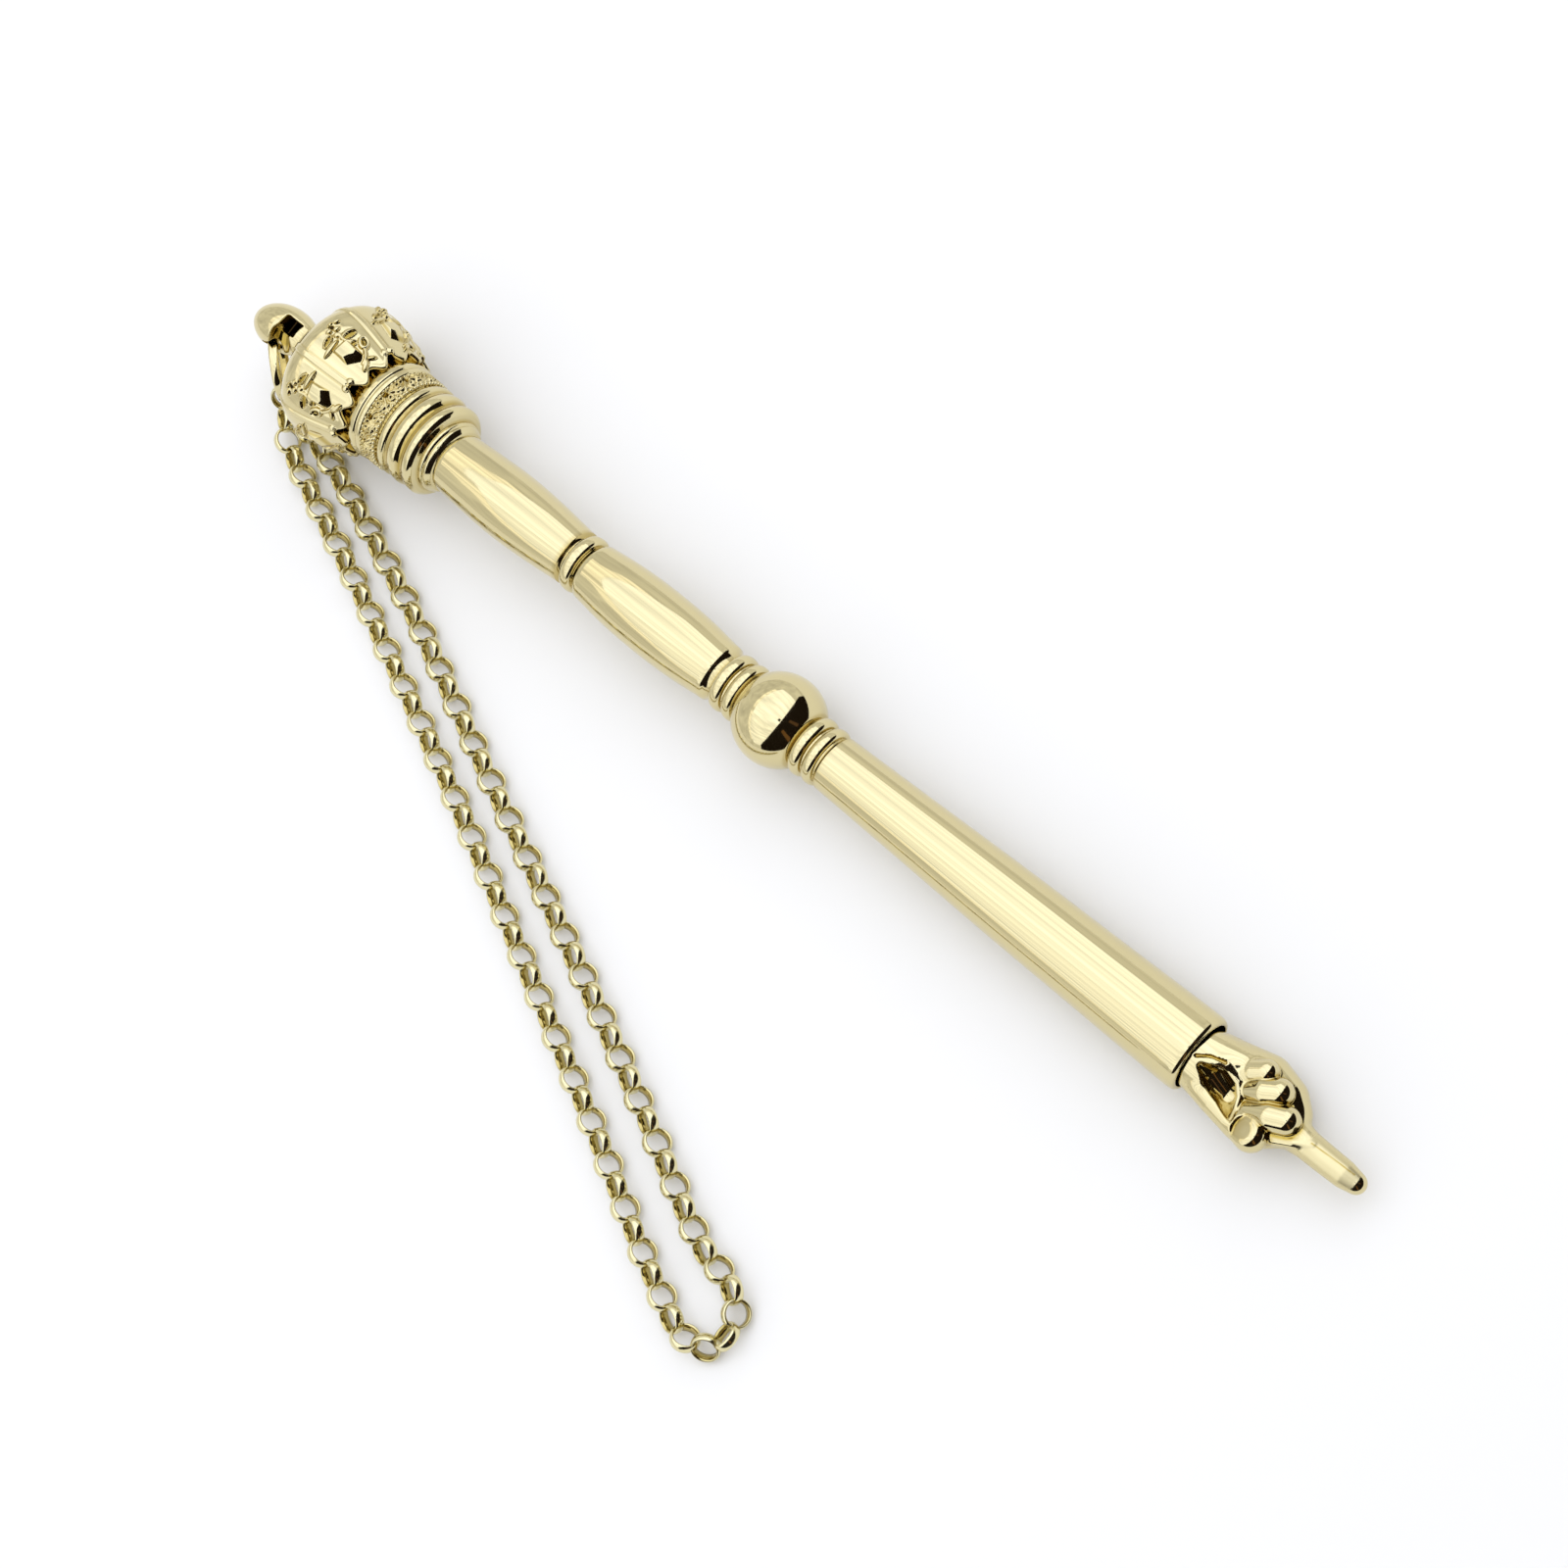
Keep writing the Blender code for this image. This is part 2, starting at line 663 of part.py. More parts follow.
def direction_at(points, lengths, distance):
    ahead = point_at(points, lengths, distance + LINK_INNER)
    behind = point_at(points, lengths, distance - LINK_INNER)
    return (ahead - behind).normalized()


def next_link(points, lengths, distance, play):
    """Distance along the route of the next link, which hooks this one with the given play, and more on a bend."""
    centre = point_at(points, lengths, distance)
    along = direction_at(points, lengths, distance)
    found = distance + 2 * LINK_INNER
    for _ in range(SPACING_ROUNDS):
        there = point_at(points, lengths, found)
        there_along = direction_at(points, lengths, found)
        apart = there - centre
        reach = LINK_INNER * (along + there_along).dot(apart.normalized())
        if play > 0:
            reach -= BEND_ROOM * along.cross(there_along).length
        found += reach - play - apart.length
    return found


def link_distances(points, lengths, play):
    """Distances of all the links along the route, and of one more that would start the loop again."""
    distances = [0.0]
    for index in range(LINK_COUNT):
        slack = -PAIR_OVERLAP if index % 2 == 0 else play
        distances.append(next_link(points, lengths, distances[-1], slack))
    return distances


def closing_play(points, lengths):
    """Play between one joined pair and the next that makes the loop of links close on its first link."""
    least, most = 0.0, LINK_INNER
    for _ in range(PLAY_ROUNDS):
        middle = (least + most) / 2
        if link_distances(points, lengths, middle)[-1] > lengths[-1]:
            least = middle
        else:
            most = middle
    print(f"play between pairs of links: {middle / MM:.3f} mm")
    return middle


def link_frames(template):
    """World matrix of every link: along the route, rolled 45 degrees one way and the other, lying on the table."""
    points, lengths = smooth_route()
    distances = link_distances(points, lengths, closing_play(points, lengths))
    frames = []
    for index, distance in enumerate(distances[:-1]):
        along = direction_at(points, lengths, distance)
        roll = -LINK_ROLL if index % 2 == 0 else LINK_ROLL
        upright = (Vector((0, 0, 1)) - along * along.z).normalized()
        normal = Matrix.Rotation(roll, 3, along) @ upright
        turn = Matrix((along, normal.cross(along), normal)).transposed().to_4x4()
        lowest = min((turn @ corner.co).z for corner in template.vertices)
        centre = point_at(points, lengths, distance) - Vector((0, 0, lowest))
        frames.append(Matrix.Translation(centre) @ turn)
    return frames


def build_chain(parts, cutters, gold):
    """Pairs of links that touch are joined; the last link closes the loop and is joined to the first pair."""
    template = link_mesh()
    frames = link_frames(template)
    for pair, index in enumerate(range(0, LINK_COUNT - 1, 2), start=1):
        name = f"chain_links_{pair:02d}"
        first = template.copy()
        first.name = name
        link = add_object(name, first, parts, gold)
        link.matrix_world = frames[index]
        joined = [index + 1]
        if pair == 1:
            joined.append(LINK_COUNT - 1)
        for other in joined:
            hooked = add_cutter(f"Link {other + 1:02d}", template.copy(), cutters)
            hooked.matrix_world = frames[other]
            boolean(link, hooked, "UNION")
        smooth_round_faces(first)


# ---------------------------------------------------------------- assembly


def lying_pose():
    """World matrix of the pointer's frame, resting on the crown's flat and on the sleeve's."""
    crown_height = BELLY_RADIUS - CROWN_FLAT_DEPTH
    rim_height = SLEEVE_RIM_RADIUS - RIM_FLAT_DEPTH
    lean = math.asin((crown_height - rim_height) / (SLEEVE_RIM_STATION - BELLY_STATION))
    turn = Matrix.Rotation(lean, 4, "Y")
    belly = turn @ Vector((BELLY_STATION, 0, -crown_height))
    return Matrix.Translation(-belly) @ turn


def main():
    clear_scene()
    parts = collection("Torah pointer")
    cutters = collection("Cutters")
    gold = plated_metal("gold plating", (0.83, 0.74, 0.48), 0.10)
    chain_gold = plated_metal("chain gold", (0.83, 0.72, 0.42), 0.14)

    pose = lying_pose()
    lying = bpy.data.objects.new("Lying pointer", None)
    parts.objects.link(lying)
    lying.matrix_world = pose
    bpy.context.view_layer.update()

    reach = 300 * MM
    table_mesh = box_mesh("Table cut", Vector((-reach, -30 * MM, -20 * MM)), Vector((reach, 30 * MM, 0.0)))
    table = add_cutter("Table cut", table_mesh, cutters)

    build_crown(parts, cutters, lying, pose, gold, table)
    build_shaft(parts, lying, gold, table)
    build_hand(parts, cutters, lying, gold)
    build_jump_ring(parts, gold)
    build_chain(parts, cutters, chain_gold)


main()
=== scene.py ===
"""Looks of the torah pointer (yad): crown head, turned shaft, pointing hand, jump ring and belcher chain.

Sizes are in millimetres until a mesh is made. The pointer's own frame has its origin at the ball's centre,
X towards the fingertip, Y across and Z up; stations are measured along X from the ball's centre.
"""

import sys
import logging
import math
from collections.abc import Callable, Sequence
from dataclasses import dataclass, field
from enum import Enum

import bpy
import numpy as np
from mathutils import Matrix, Vector


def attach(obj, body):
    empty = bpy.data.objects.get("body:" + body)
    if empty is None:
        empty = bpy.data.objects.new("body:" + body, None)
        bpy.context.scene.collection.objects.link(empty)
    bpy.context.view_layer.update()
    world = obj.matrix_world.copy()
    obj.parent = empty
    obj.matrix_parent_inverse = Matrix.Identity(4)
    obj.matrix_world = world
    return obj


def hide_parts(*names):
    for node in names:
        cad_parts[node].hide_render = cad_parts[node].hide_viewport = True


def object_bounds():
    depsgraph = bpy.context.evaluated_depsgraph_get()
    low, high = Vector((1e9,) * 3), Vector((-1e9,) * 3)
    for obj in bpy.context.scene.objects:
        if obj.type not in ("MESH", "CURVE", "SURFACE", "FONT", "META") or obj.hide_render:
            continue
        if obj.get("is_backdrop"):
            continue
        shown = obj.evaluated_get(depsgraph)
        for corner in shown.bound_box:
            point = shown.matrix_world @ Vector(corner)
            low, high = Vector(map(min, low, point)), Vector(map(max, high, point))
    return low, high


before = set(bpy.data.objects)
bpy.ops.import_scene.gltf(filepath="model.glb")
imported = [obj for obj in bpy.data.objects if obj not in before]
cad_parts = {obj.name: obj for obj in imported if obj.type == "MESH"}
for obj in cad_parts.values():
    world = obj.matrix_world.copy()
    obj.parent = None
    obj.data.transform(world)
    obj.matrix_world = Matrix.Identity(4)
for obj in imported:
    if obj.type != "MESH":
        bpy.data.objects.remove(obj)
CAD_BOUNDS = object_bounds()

MM = 0.001

Array = np.ndarray
Ball = tuple[float, float, float, float]
Colour = tuple[float, float, float]
Faces = Sequence[Sequence[int]]
Section = Sequence[tuple[float, float]]
Socket = bpy.types.NodeSocket
Triple = tuple[float, float, float]

log = logging.getLogger("torah_pointer")


# ---------------------------------------------------------------- node helpers


def add_node(tree: bpy.types.NodeTree, kind: str, **sockets: float | Sequence[float] | str) -> bpy.types.Node:
    """Adds a node.

    Args:
        tree: Tree that it goes into.
        kind: Blender's name for the kind of node.
        sockets: Values of its inputs, by socket name with an underscore for each space.

    Returns:
        The node.
    """
    node = tree.nodes.new(kind)
    set_sockets(node, **sockets)
    return node


def set_sockets(node: bpy.types.Node, **sockets: float | Sequence[float] | str) -> None:
    """Sets inputs of a node by socket name, with an underscore for each space."""
    for name, value in sockets.items():
        node.inputs[name.replace("_", " ")].default_value = value


def add_attribute(tree: bpy.types.NodeTree, name: str) -> Socket:
    """Adds a node that reads a number stored on the mesh, and gives its output.

    Args:
        tree: Tree that the node goes into.
        name: Name of the stored number.

    Returns:
        The node's output.
    """
    node = tree.nodes.new("ShaderNodeAttribute")
    node.attribute_name = name
    return node.outputs["Fac"]


def add_noise(tree: bpy.types.NodeTree, vector: Socket, **sockets: float) -> Socket:
    """Adds a noise texture over the given coordinates and gives its output.

    Args:
        tree: Tree that the node goes into.
        vector: Coordinates that it reads.
        sockets: Values of its inputs, by socket name with an underscore for each space.

    Returns:
        The node's output.
    """
    noise = add_node(tree, "ShaderNodeTexNoise", **sockets)
    tree.links.new(vector, noise.inputs["Vector"])
    return noise.outputs["Fac"]


def add_range(tree: bpy.types.NodeTree, value: Socket, **sockets: float) -> Socket:
    """Adds a map from one range to another and gives its output.

    Args:
        tree: Tree that the node goes into.
        value: Value that it maps.
        sockets: Values of its inputs, by socket name with an underscore for each space.

    Returns:
        The node's output.
    """
    spread = add_node(tree, "ShaderNodeMapRange", **sockets)
    tree.links.new(value, spread.inputs["Value"])
    return spread.outputs["Result"]


def add_scaled(tree: bpy.types.NodeTree, value: Socket, factor: float, base: Socket | None = None) -> Socket:
    """Adds a value times a factor, on top of a base value where one is given.

    Args:
        tree: Tree that the node goes into.
        value: Value that is scaled.
        factor: What it is multiplied by.
        base: Value that the product is added to.

    Returns:
        The node's output.
    """
    node = tree.nodes.new("ShaderNodeMath")
    node.operation = "MULTIPLY" if base is None else "MULTIPLY_ADD"
    node.inputs[1].default_value = factor
    tree.links.new(value, node.inputs[0])
    if base is not None:
        tree.links.new(base, node.inputs[2])
    return node.outputs["Value"]


def new_paint(name: str) -> tuple[bpy.types.Material, bpy.types.NodeTree, bpy.types.Node]:
    """Makes a material and gives it with its node tree and its shader.

    Args:
        name: Name of the material.

    Returns:
        The material, its node tree and its shader.
    """
    paint = bpy.data.materials.new(name)
    paint.use_nodes = True
    return paint, paint.node_tree, paint.node_tree.nodes["Principled BSDF"]


# ---------------------------------------------------------------- finishes


class Slot(Enum):
    """The record's material slots."""

    PLATING = "gold_plating"
    CHAIN = "chain_gold"


# Near-black painted shade for the deepest hollows.
PAINTED_BLACK_SHADE: Colour = (0.03, 0.018, 0.006)


@dataclass(frozen=True)
class GoldPlate:
    """Polished gold plate, with painted shade and a painted warm inter-reflection where it lies deep in the
    relief.

    Attributes:
        name: Material name.
        colour: Colour of the open metal, linear.
        painted_shade_colour: Painted amber of the shade and warm inter-reflection in the recesses, linear.
        roughness: Roughness of the open metal.
        grain: How much a fine cloudiness changes the roughness.
        ripple: Strength of the casting's faint waviness.
        frosting: Roughness that the "frost" attribute adds.
        cloud_scale: How fine the cloudiness is.
        ripple_scale: How fine the waviness is.
    """

    name: str
    colour: Colour
    painted_shade_colour: Colour
    roughness: float
    grain: float = 0.04
    ripple: float = 0.02
    frosting: float = 0.25
    cloud_scale: float = 260.0
    ripple_scale: float = 120.0

    def build(self) -> bpy.types.Material:
        """Makes the material, which reads object coordinates and the "recess" attribute that paints shade,
        warm inter-reflection and the hand's seam line into the colour.

        Returns:
            The material.
        """
        paint, tree, shader = new_paint(self.name)
        links = tree.links
        set_sockets(shader, Metallic=1.0)
        where = tree.nodes.new("ShaderNodeTexCoord").outputs["Object"]

        # Painted shade and reflection: the stored value turns the open gold to a painted amber
        # inter-reflection, then to painted near-black shade.
        painted_shade_ramp = tree.nodes.new("ShaderNodeValToRGB")
        ramp = painted_shade_ramp.color_ramp.elements
        ramp[0].color = (*self.colour, 1.0)
        ramp[1].position = 0.5
        ramp[1].color = (*self.painted_shade_colour, 1.0)
        ramp.new(0.95).color = (*PAINTED_BLACK_SHADE, 1.0)
        links.new(add_scaled(tree, add_attribute(tree, "recess"), 0.5), painted_shade_ramp.inputs["Fac"])
        links.new(painted_shade_ramp.outputs["Color"], shader.inputs["Base Color"])

        cloud = add_noise(tree, where, Scale=self.cloud_scale, Detail=3.0)
        spread = add_range(
            tree, cloud, To_Min=self.roughness - self.grain, To_Max=self.roughness + self.grain
        )
        dull = add_scaled(tree, add_attribute(tree, "frost"), self.frosting, spread)
        links.new(dull, shader.inputs["Roughness"])

        bump = add_node(tree, "ShaderNodeBump", Strength=self.ripple, Distance=0.4 * MM)
        waves = add_noise(tree, where, Scale=self.ripple_scale, Detail=1.0)
        links.new(waves, bump.inputs["Height"])
        links.new(bump.outputs["Normal"], shader.inputs["Normal"])
        return paint


# The second colour of each finish is its painted amber shade and inter-reflection in the hollows.
PLATING = GoldPlate("gold plating", (0.67, 0.585, 0.325), (0.42, 0.30, 0.06), 0.07, 0.03)
CHAIN_GOLD = GoldPlate("chain gold", (0.74, 0.67, 0.39), (0.45, 0.35, 0.10), 0.14)


# ---------------------------------------------------------------- geometry helpers


@dataclass(frozen=True)
class LyingPose:
    """How the pointer lies on the table: on its crown's belly and on the sleeve's rim.

    Attributes:
        belly_station: Station of the crown's belly.
        crown_height: Height of the axis over the flat under the belly.
        rim_station: Station of the sleeve's rim.
        rim_height: Height of the axis over the flat under the rim.
    """

    belly_station: float = -90.0
    crown_height: float = 10.55
    rim_station: float = 72.6
    rim_height: float = 5.5

    @property
    def matrix(self) -> Matrix:
        """World matrix of the pointer's frame, in millimetres.

        Returns:
            The matrix.
        """
        lean = math.asin((self.crown_height - self.rim_height) / (self.rim_station - self.belly_station))
        turn = Matrix.Rotation(lean, 4, "Y")
        belly = turn @ Vector((self.belly_station, 0.0, -self.crown_height))
        return Matrix.Translation(-belly) @ turn

    def place(self, points: Array) -> Array:
        """Takes points of the pointer's frame to the world."""
        matrix = np.array(self.matrix)
        return points @ matrix[:3, :3].T + matrix[:3, 3]

    def bring(self, point: Vector) -> Vector:
        """Takes one world point to the pointer's frame."""
        return self.matrix.inverted() @ point


POSE = LyingPose()


def keep_above_table(points: Array) -> Array:
    """Presses what would sink into the table flat on it.

    Args:
        points: World positions in millimetres.

    Returns:
        The positions with none below the table.
    """
    raised = points.copy()
    raised[:, 2] = np.maximum(raised[:, 2], 0.0)
    return raised


def linked(name: str, data: bpy.types.ID) -> bpy.types.Object:
    """Makes an object of a mesh or a camera and links it to the scene.

    Args:
        name: Name of the object.
        data: Mesh or camera that it shows.

    Returns:
        The object.
    """
    made = bpy.data.objects.new(name, data)
    bpy.context.scene.collection.objects.link(made)
    return made


def mark_points(mesh: bpy.types.Mesh, name: str, values: Array) -> None:
    """Stores one number per vertex as a named attribute."""
    stored = mesh.attributes.new(name, "FLOAT", "POINT")
    stored.data.foreach_set("value", values.astype(np.float32))


def smooth_mesh(name: str, points: Array, faces: Faces, recess: Array | None = None) -> bpy.types.Mesh:
    """Makes a smooth mesh from points in millimetres.

    Args:
        name: Name of the mesh.
        points: Positions in millimetres, one row per vertex.
        faces: Vertex indices of each face.
        recess: Painted shade and painted warm reflection of each vertex, from 0 on open metal to 2 in painted
            black deep in the relief; on the hand it also holds the seam's dark line.

    Returns:
        The mesh.
    """
    mesh = bpy.data.meshes.new(name)
    mesh.from_pydata((points * MM).tolist(), [], faces)
    mesh.validate()
    mesh.shade_smooth()
    # Stores the painted shade, and on the hand the seam line, for the material's colour ramp.
    if recess is not None:
        mark_points(mesh, "recess", recess)
    return mesh


def lying_piece(name: str, points: Array, faces: Faces, recess: Array) -> bpy.types.Object:
    """Makes a piece from points of the pointer's frame and lays it on the table.

    Args:
        name: Name of the piece.
        points: Positions in the pointer's frame.
        faces: Vertex indices of each face.
        recess: Painted shade of each vertex, darker the deeper it lies in the relief; on the hand it also
            holds the seam's dark line.

    Returns:
        The object, at the origin and untransformed.
    """
    return linked(name, smooth_mesh(name, keep_above_table(POSE.place(points)), faces, recess))


def dress(piece: bpy.types.Object, material: bpy.types.Material, slot: Slot, nodes: Sequence[str]) -> None:
    """Gives a piece its material and its body, and hides the CAD nodes that it stands for.

    Args:
        piece: Finished piece.
        material: Its finish.
        slot: Its material slot in the record; not used.
        nodes: CAD nodes that it replaces.
    """
    piece.data.materials.clear()
    piece.data.materials.append(material)
    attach(piece, "root")
    if nodes:
        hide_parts(*nodes)
    log.info("%s: %d faces", piece.name, len(piece.data.polygons))


def wrapped_quads(rows: int, columns: int) -> list[tuple[int, ...]]:
    """Quads of a tube of rows by columns, whose first vertex has index 0.

    Args:
        rows: Number of rings.
        columns: Number of points in a ring.

    Returns:
        Four vertex indices for each quad.
    """
    quads = []
    for row in range(rows - 1):
        start = row * columns
        for column in range(columns):
            following = (column + 1) % columns
            near, far = start + column, start + following
            quads.append((near, near + columns, far + columns, far))
    return quads


def tube_with_caps(grid: Array, first_cap: Array, last_cap: Array) -> tuple[Array, list[tuple[int, ...]]]:
    """Points and faces of a grid of rings that run along +X, closed by a fan at each end.

    Args:
        grid: Ring points as rows, columns and coordinates, each ring going round from +Z to +Y.
        first_cap: Middle point of the first end.
        last_cap: Middle point of the last end.

    Returns:
        The points and the faces, which face outwards.
    """
    rows, columns, _ = grid.shape
    points = np.vstack([grid.reshape(-1, 3), first_cap[None], last_cap[None]])
    faces = wrapped_quads(rows, columns)
    first, last = rows * columns, rows * columns + 1
    end = (rows - 1) * columns
    for column in range(columns):
        following = (column + 1) % columns
        faces.append((first, column, following))
        faces.append((last, end + following, end + column))
    return points, faces


def ring_of(section: Section, steps: int) -> tuple[Array, Faces]:
    """Turns a closed section about Z.

    Args:
        section: Corners as (height, radius), going round so that the faces look outwards.
        steps: How many times the section is set round the ring.

    Returns:
        The points, ring step by ring step, and the faces.
    """
    angles = math.tau * np.arange(steps) / steps
    height, radius = np.array(section).T
    grid = np.stack(
        [
            radius * np.cos(angles)[:, None],
            radius * np.sin(angles)[:, None],
            np.broadcast_to(height, (steps, len(height))),
        ],
        axis=-1,
    )
    count = len(section)
    faces = []
    for step in range(steps):
        near, far = step * count, ((step + 1) % steps) * count
        for corner in range(count):
            following = (corner + 1) % count
            faces.append((near + corner, near + following, far + following, far + corner))
    return grid.reshape(-1, 3), faces


def domed_outside(width: float, radius: float, fall: float, fullness: float, points: int) -> Section:
    """The domed outside of a ring's band, from one edge over the crest to the other.

    Args:
        width: Width of the band.
        radius: Radius of the crest.
        fall: How much lower the edges lie.
        fullness: 1 for a plain dome, and less for a flatter crest and rounder edges.
        points: Number of corners.

    Returns:
        Corners as (height, radius).
    """
    turns = np.linspace(0, math.pi, points)
    return [(0.5 * width * math.cos(t), radius - fall * (1 - math.sin(t) ** fullness)) for t in turns]


def rounded_outline(corners: Section, radius: float, steps: int = 4) -> Array:
    """Rounds the corners of an outline by replacing each with a short curve.

    Args:
        corners: Corners of the outline.
        radius: How far from a corner its curve starts.
        steps: Spans of each curve.

    Returns:
        Points of the rounded outline.
    """
    corners = np.array(corners, float)
    made = [corners[0]]
    for before, corner, after in zip(corners, corners[1:], corners[2:]):
        reach_in = min(radius, 0.45 * np.linalg.norm(corner - before))
        reach_out = min(radius, 0.45 * np.linalg.norm(after - corner))
        start = corner + (before - corner) / max(np.linalg.norm(before - corner), 1e-9) * reach_in
        end = corner + (after - corner) / max(np.linalg.norm(after - corner), 1e-9) * reach_out
        for step in range(steps + 1):
            t = step / steps
            made.append((1 - t) ** 2 * start + 2 * t * (1 - t) * corner + t * t * end)
    made.append(corners[-1])
    return np.array(made)


def refined(outline: Array, longest: float) -> Array:
    """Splits every span of an outline that is longer than the given length.

    Args:
        outline: Points of the outline.
        longest: Longest span that stays whole.

    Returns:
        Points of the finer outline.
    """
    made = [outline[0]]
    for start, end in zip(outline, outline[1:]):
        count = max(1, math.ceil(np.linalg.norm(end - start) / longest))
        for step in range(1, count + 1):
            made.append(start + (end - start) * step / count)
    return np.array(made)


def turned_grid(outline: Array, angles: Array) -> Array:
    """Turns an outline of (station, radius) about X: rows by angles by coordinates.

    Args:
        outline: Outline as rows of (station, radius).
        angles: Angles of the columns.

    Returns:
        The grid of points.
    """
    radii = outline[:, 1][:, None]
    stations = np.repeat(outline[:, :1], len(angles), axis=1)
    return np.stack([stations, radii * np.sin(angles), radii * np.cos(angles)], axis=-1)


def grid_normals(grid: Array) -> Array:
    """Outward unit normals of a grid of rings.

    Args:
        grid: Points as rows, columns and coordinates.

    Returns:
        One normal for each grid point.
    """
    along = np.gradient(grid, axis=0)
    padded = np.concatenate([grid[:, -1:], grid, grid[:, :1]], axis=1)
    around = (padded[:, 2:] - padded[:, :-2]) / 2
    normals = np.cross(along, around)
    lengths = np.linalg.norm(normals, axis=-1, keepdims=True)
    return normals / np.maximum(lengths, 1e-9)


def smooth_curve(anchors: Array, per_span: int, closed: bool = False) -> Array:
    """Points of a Catmull-Rom curve through the anchors.

    Args:
        anchors: Points that the curve passes.
        per_span: Points between two anchors.
        closed: Whether the end runs on into the start.

    Returns:
        Points of the curve.
    """
    anchors = np.asarray(anchors, float)
    if closed:
        padded = np.vstack([anchors[-1:], anchors, anchors[:2]])
    else:
        padded = np.vstack([2 * anchors[0] - anchors[1], anchors, 2 * anchors[-1] - anchors[-2]])
    made = []
    for before, start, end, after in zip(padded, padded[1:], padded[2:], padded[3:]):
        for step in range(per_span):
            t = step / per_span
            made.append(
                0.5
                * (
                    2 * start
                    + (end - before) * t
                    + (2 * before - 5 * start + 4 * end - after) * t**2
                    + (3 * start - before - 3 * end + after) * t**3
                )
            )
    if not closed:
        made.append(anchors[-1])
    return np.array(made)


def distance_to_path(x: Array, y: Array, path: Array) -> Array:
    """Distance of every (x, y) to a polyline.

    Args:
        x: First coordinates.
        y: Second coordinates.
        path: Corners of the polyline.

    Returns:
        One distance for each point.
    """
    nearest = np.full(x.shape, np.inf)
    for (ax, ay), (bx, by) in zip(path, path[1:]):
        dx, dy = bx - ax, by - ay
        length = max(dx * dx + dy * dy, 1e-12)
        t = np.clip(((x - ax) * dx + (y - ay) * dy) / length, 0, 1)
        nearest = np.minimum(nearest, np.hypot(x - ax - t * dx, y - ay - t * dy))
    return nearest


def copies_tree() -> bpy.types.NodeTree:
    """Geometry Nodes that set a copy on every point, turned and sized by the point's attributes.

    Returns:
        The tree.
    """
    tree = bpy.data.node_groups.new("Lay copies", "GeometryNodeTree")
    face = tree.interface
    for name, kind in (("Geometry", "Geometry"), ("Copy", "Object"), ("Material", "Material")):
        face.new_socket(name, in_out="INPUT", socket_type="NodeSocket" + kind)
    face.new_socket("Geometry", in_out="OUTPUT", socket_type="NodeSocketGeometry")
    nodes, links = tree.nodes, tree.links
    given, result = nodes.new("NodeGroupInput"), nodes.new("NodeGroupOutput")
    copy = nodes.new("GeometryNodeObjectInfo")
    lay = nodes.new("GeometryNodeInstanceOnPoints")
    for name, socket in (("turn", "Rotation"), ("size", "Scale")):
        stored = add_node(tree, "GeometryNodeInputNamedAttribute", Name=name)
        stored.data_type = "FLOAT_VECTOR"
        links.new(stored.outputs["Attribute"], lay.inputs[socket])
    realize = nodes.new("GeometryNodeRealizeInstances")
    coat = nodes.new("GeometryNodeSetMaterial")
    links.new(given.outputs["Geometry"], lay.inputs["Points"])
    links.new(given.outputs["Copy"], copy.inputs["Object"])
    links.new(copy.outputs["Geometry"], lay.inputs["Instance"])
    links.new(lay.outputs["Instances"], realize.inputs["Geometry"])
    links.new(realize.outputs["Geometry"], coat.inputs["Geometry"])
    links.new(given.outputs["Material"], coat.inputs["Material"])
    links.new(coat.outputs["Geometry"], result.inputs["Geometry"])
    return tree


def lay_copies(
    name: str,
    copy: bpy.types.Mesh,
    places: Array,
    turns: Sequence[Triple],
    sizes: Array,
    material: bpy.types.Material,
) -> bpy.types.Object:
    """Lays copies of a mesh with Geometry Nodes and keeps the result as one plain mesh.

    Args:
        name: Name of the object that is made.
        copy: Mesh of one copy.
        places: Position of each copy in millimetres.
        turns: Euler turn of each copy.
        sizes: Scale of each copy.
        material: Material that the tree gives every copy.

    Returns:
        The object, at the origin and untransformed.
    """
    scatter = bpy.data.meshes.new("places")
    scatter.from_pydata((places * MM).tolist(), [], [])
    for attribute, values in (("turn", np.array(turns)), ("size", sizes)):
        stored = scatter.attributes.new(attribute, "FLOAT_VECTOR", "POINT")
        stored.data.foreach_set("vector", values.astype(np.float32).ravel())
    carrier, pattern = linked("carrier", scatter), linked("pattern", copy)
    modifier = carrier.modifiers.new("Lay copies", "NODES")
    modifier.node_group = copies_tree()
    inputs = {"Copy": pattern, "Material": material}
    for item in modifier.node_group.interface.items_tree:
        if item.name in inputs:
            modifier[item.identifier] = inputs[item.name]
    graph = bpy.context.evaluated_depsgraph_get()
    graph.update()
    mesh = bpy.data.meshes.new_from_object(carrier.evaluated_get(graph))
    for used in (carrier, pattern):
        bpy.data.objects.remove(used)
    return linked(name, mesh)


# ---------------------------------------------------------------- relief


@dataclass(frozen=True)
class Ridge:
    """A raised line of the relief.

    Attributes:
        anchors: Points that its middle passes, as (across, station).
        half_width: Half of its width.
        height: How far it stands up.
    """

    anchors: Section
    half_width: float
    height: float

    def raise_over(self, across: Array, station: Array) -> Array:
        """Height that the ridge adds at each point.

        Args:
            across: Distance across, in millimetres.
            station: Stations along the pointer.

        Returns:
            One height for each point.
        """
        path = smooth_curve(np.array(self.anchors), 6)
        away = distance_to_path(across, station, path) / self.half_width
        return self.height * np.sqrt(np.clip(1 - away**2, 0, 1))


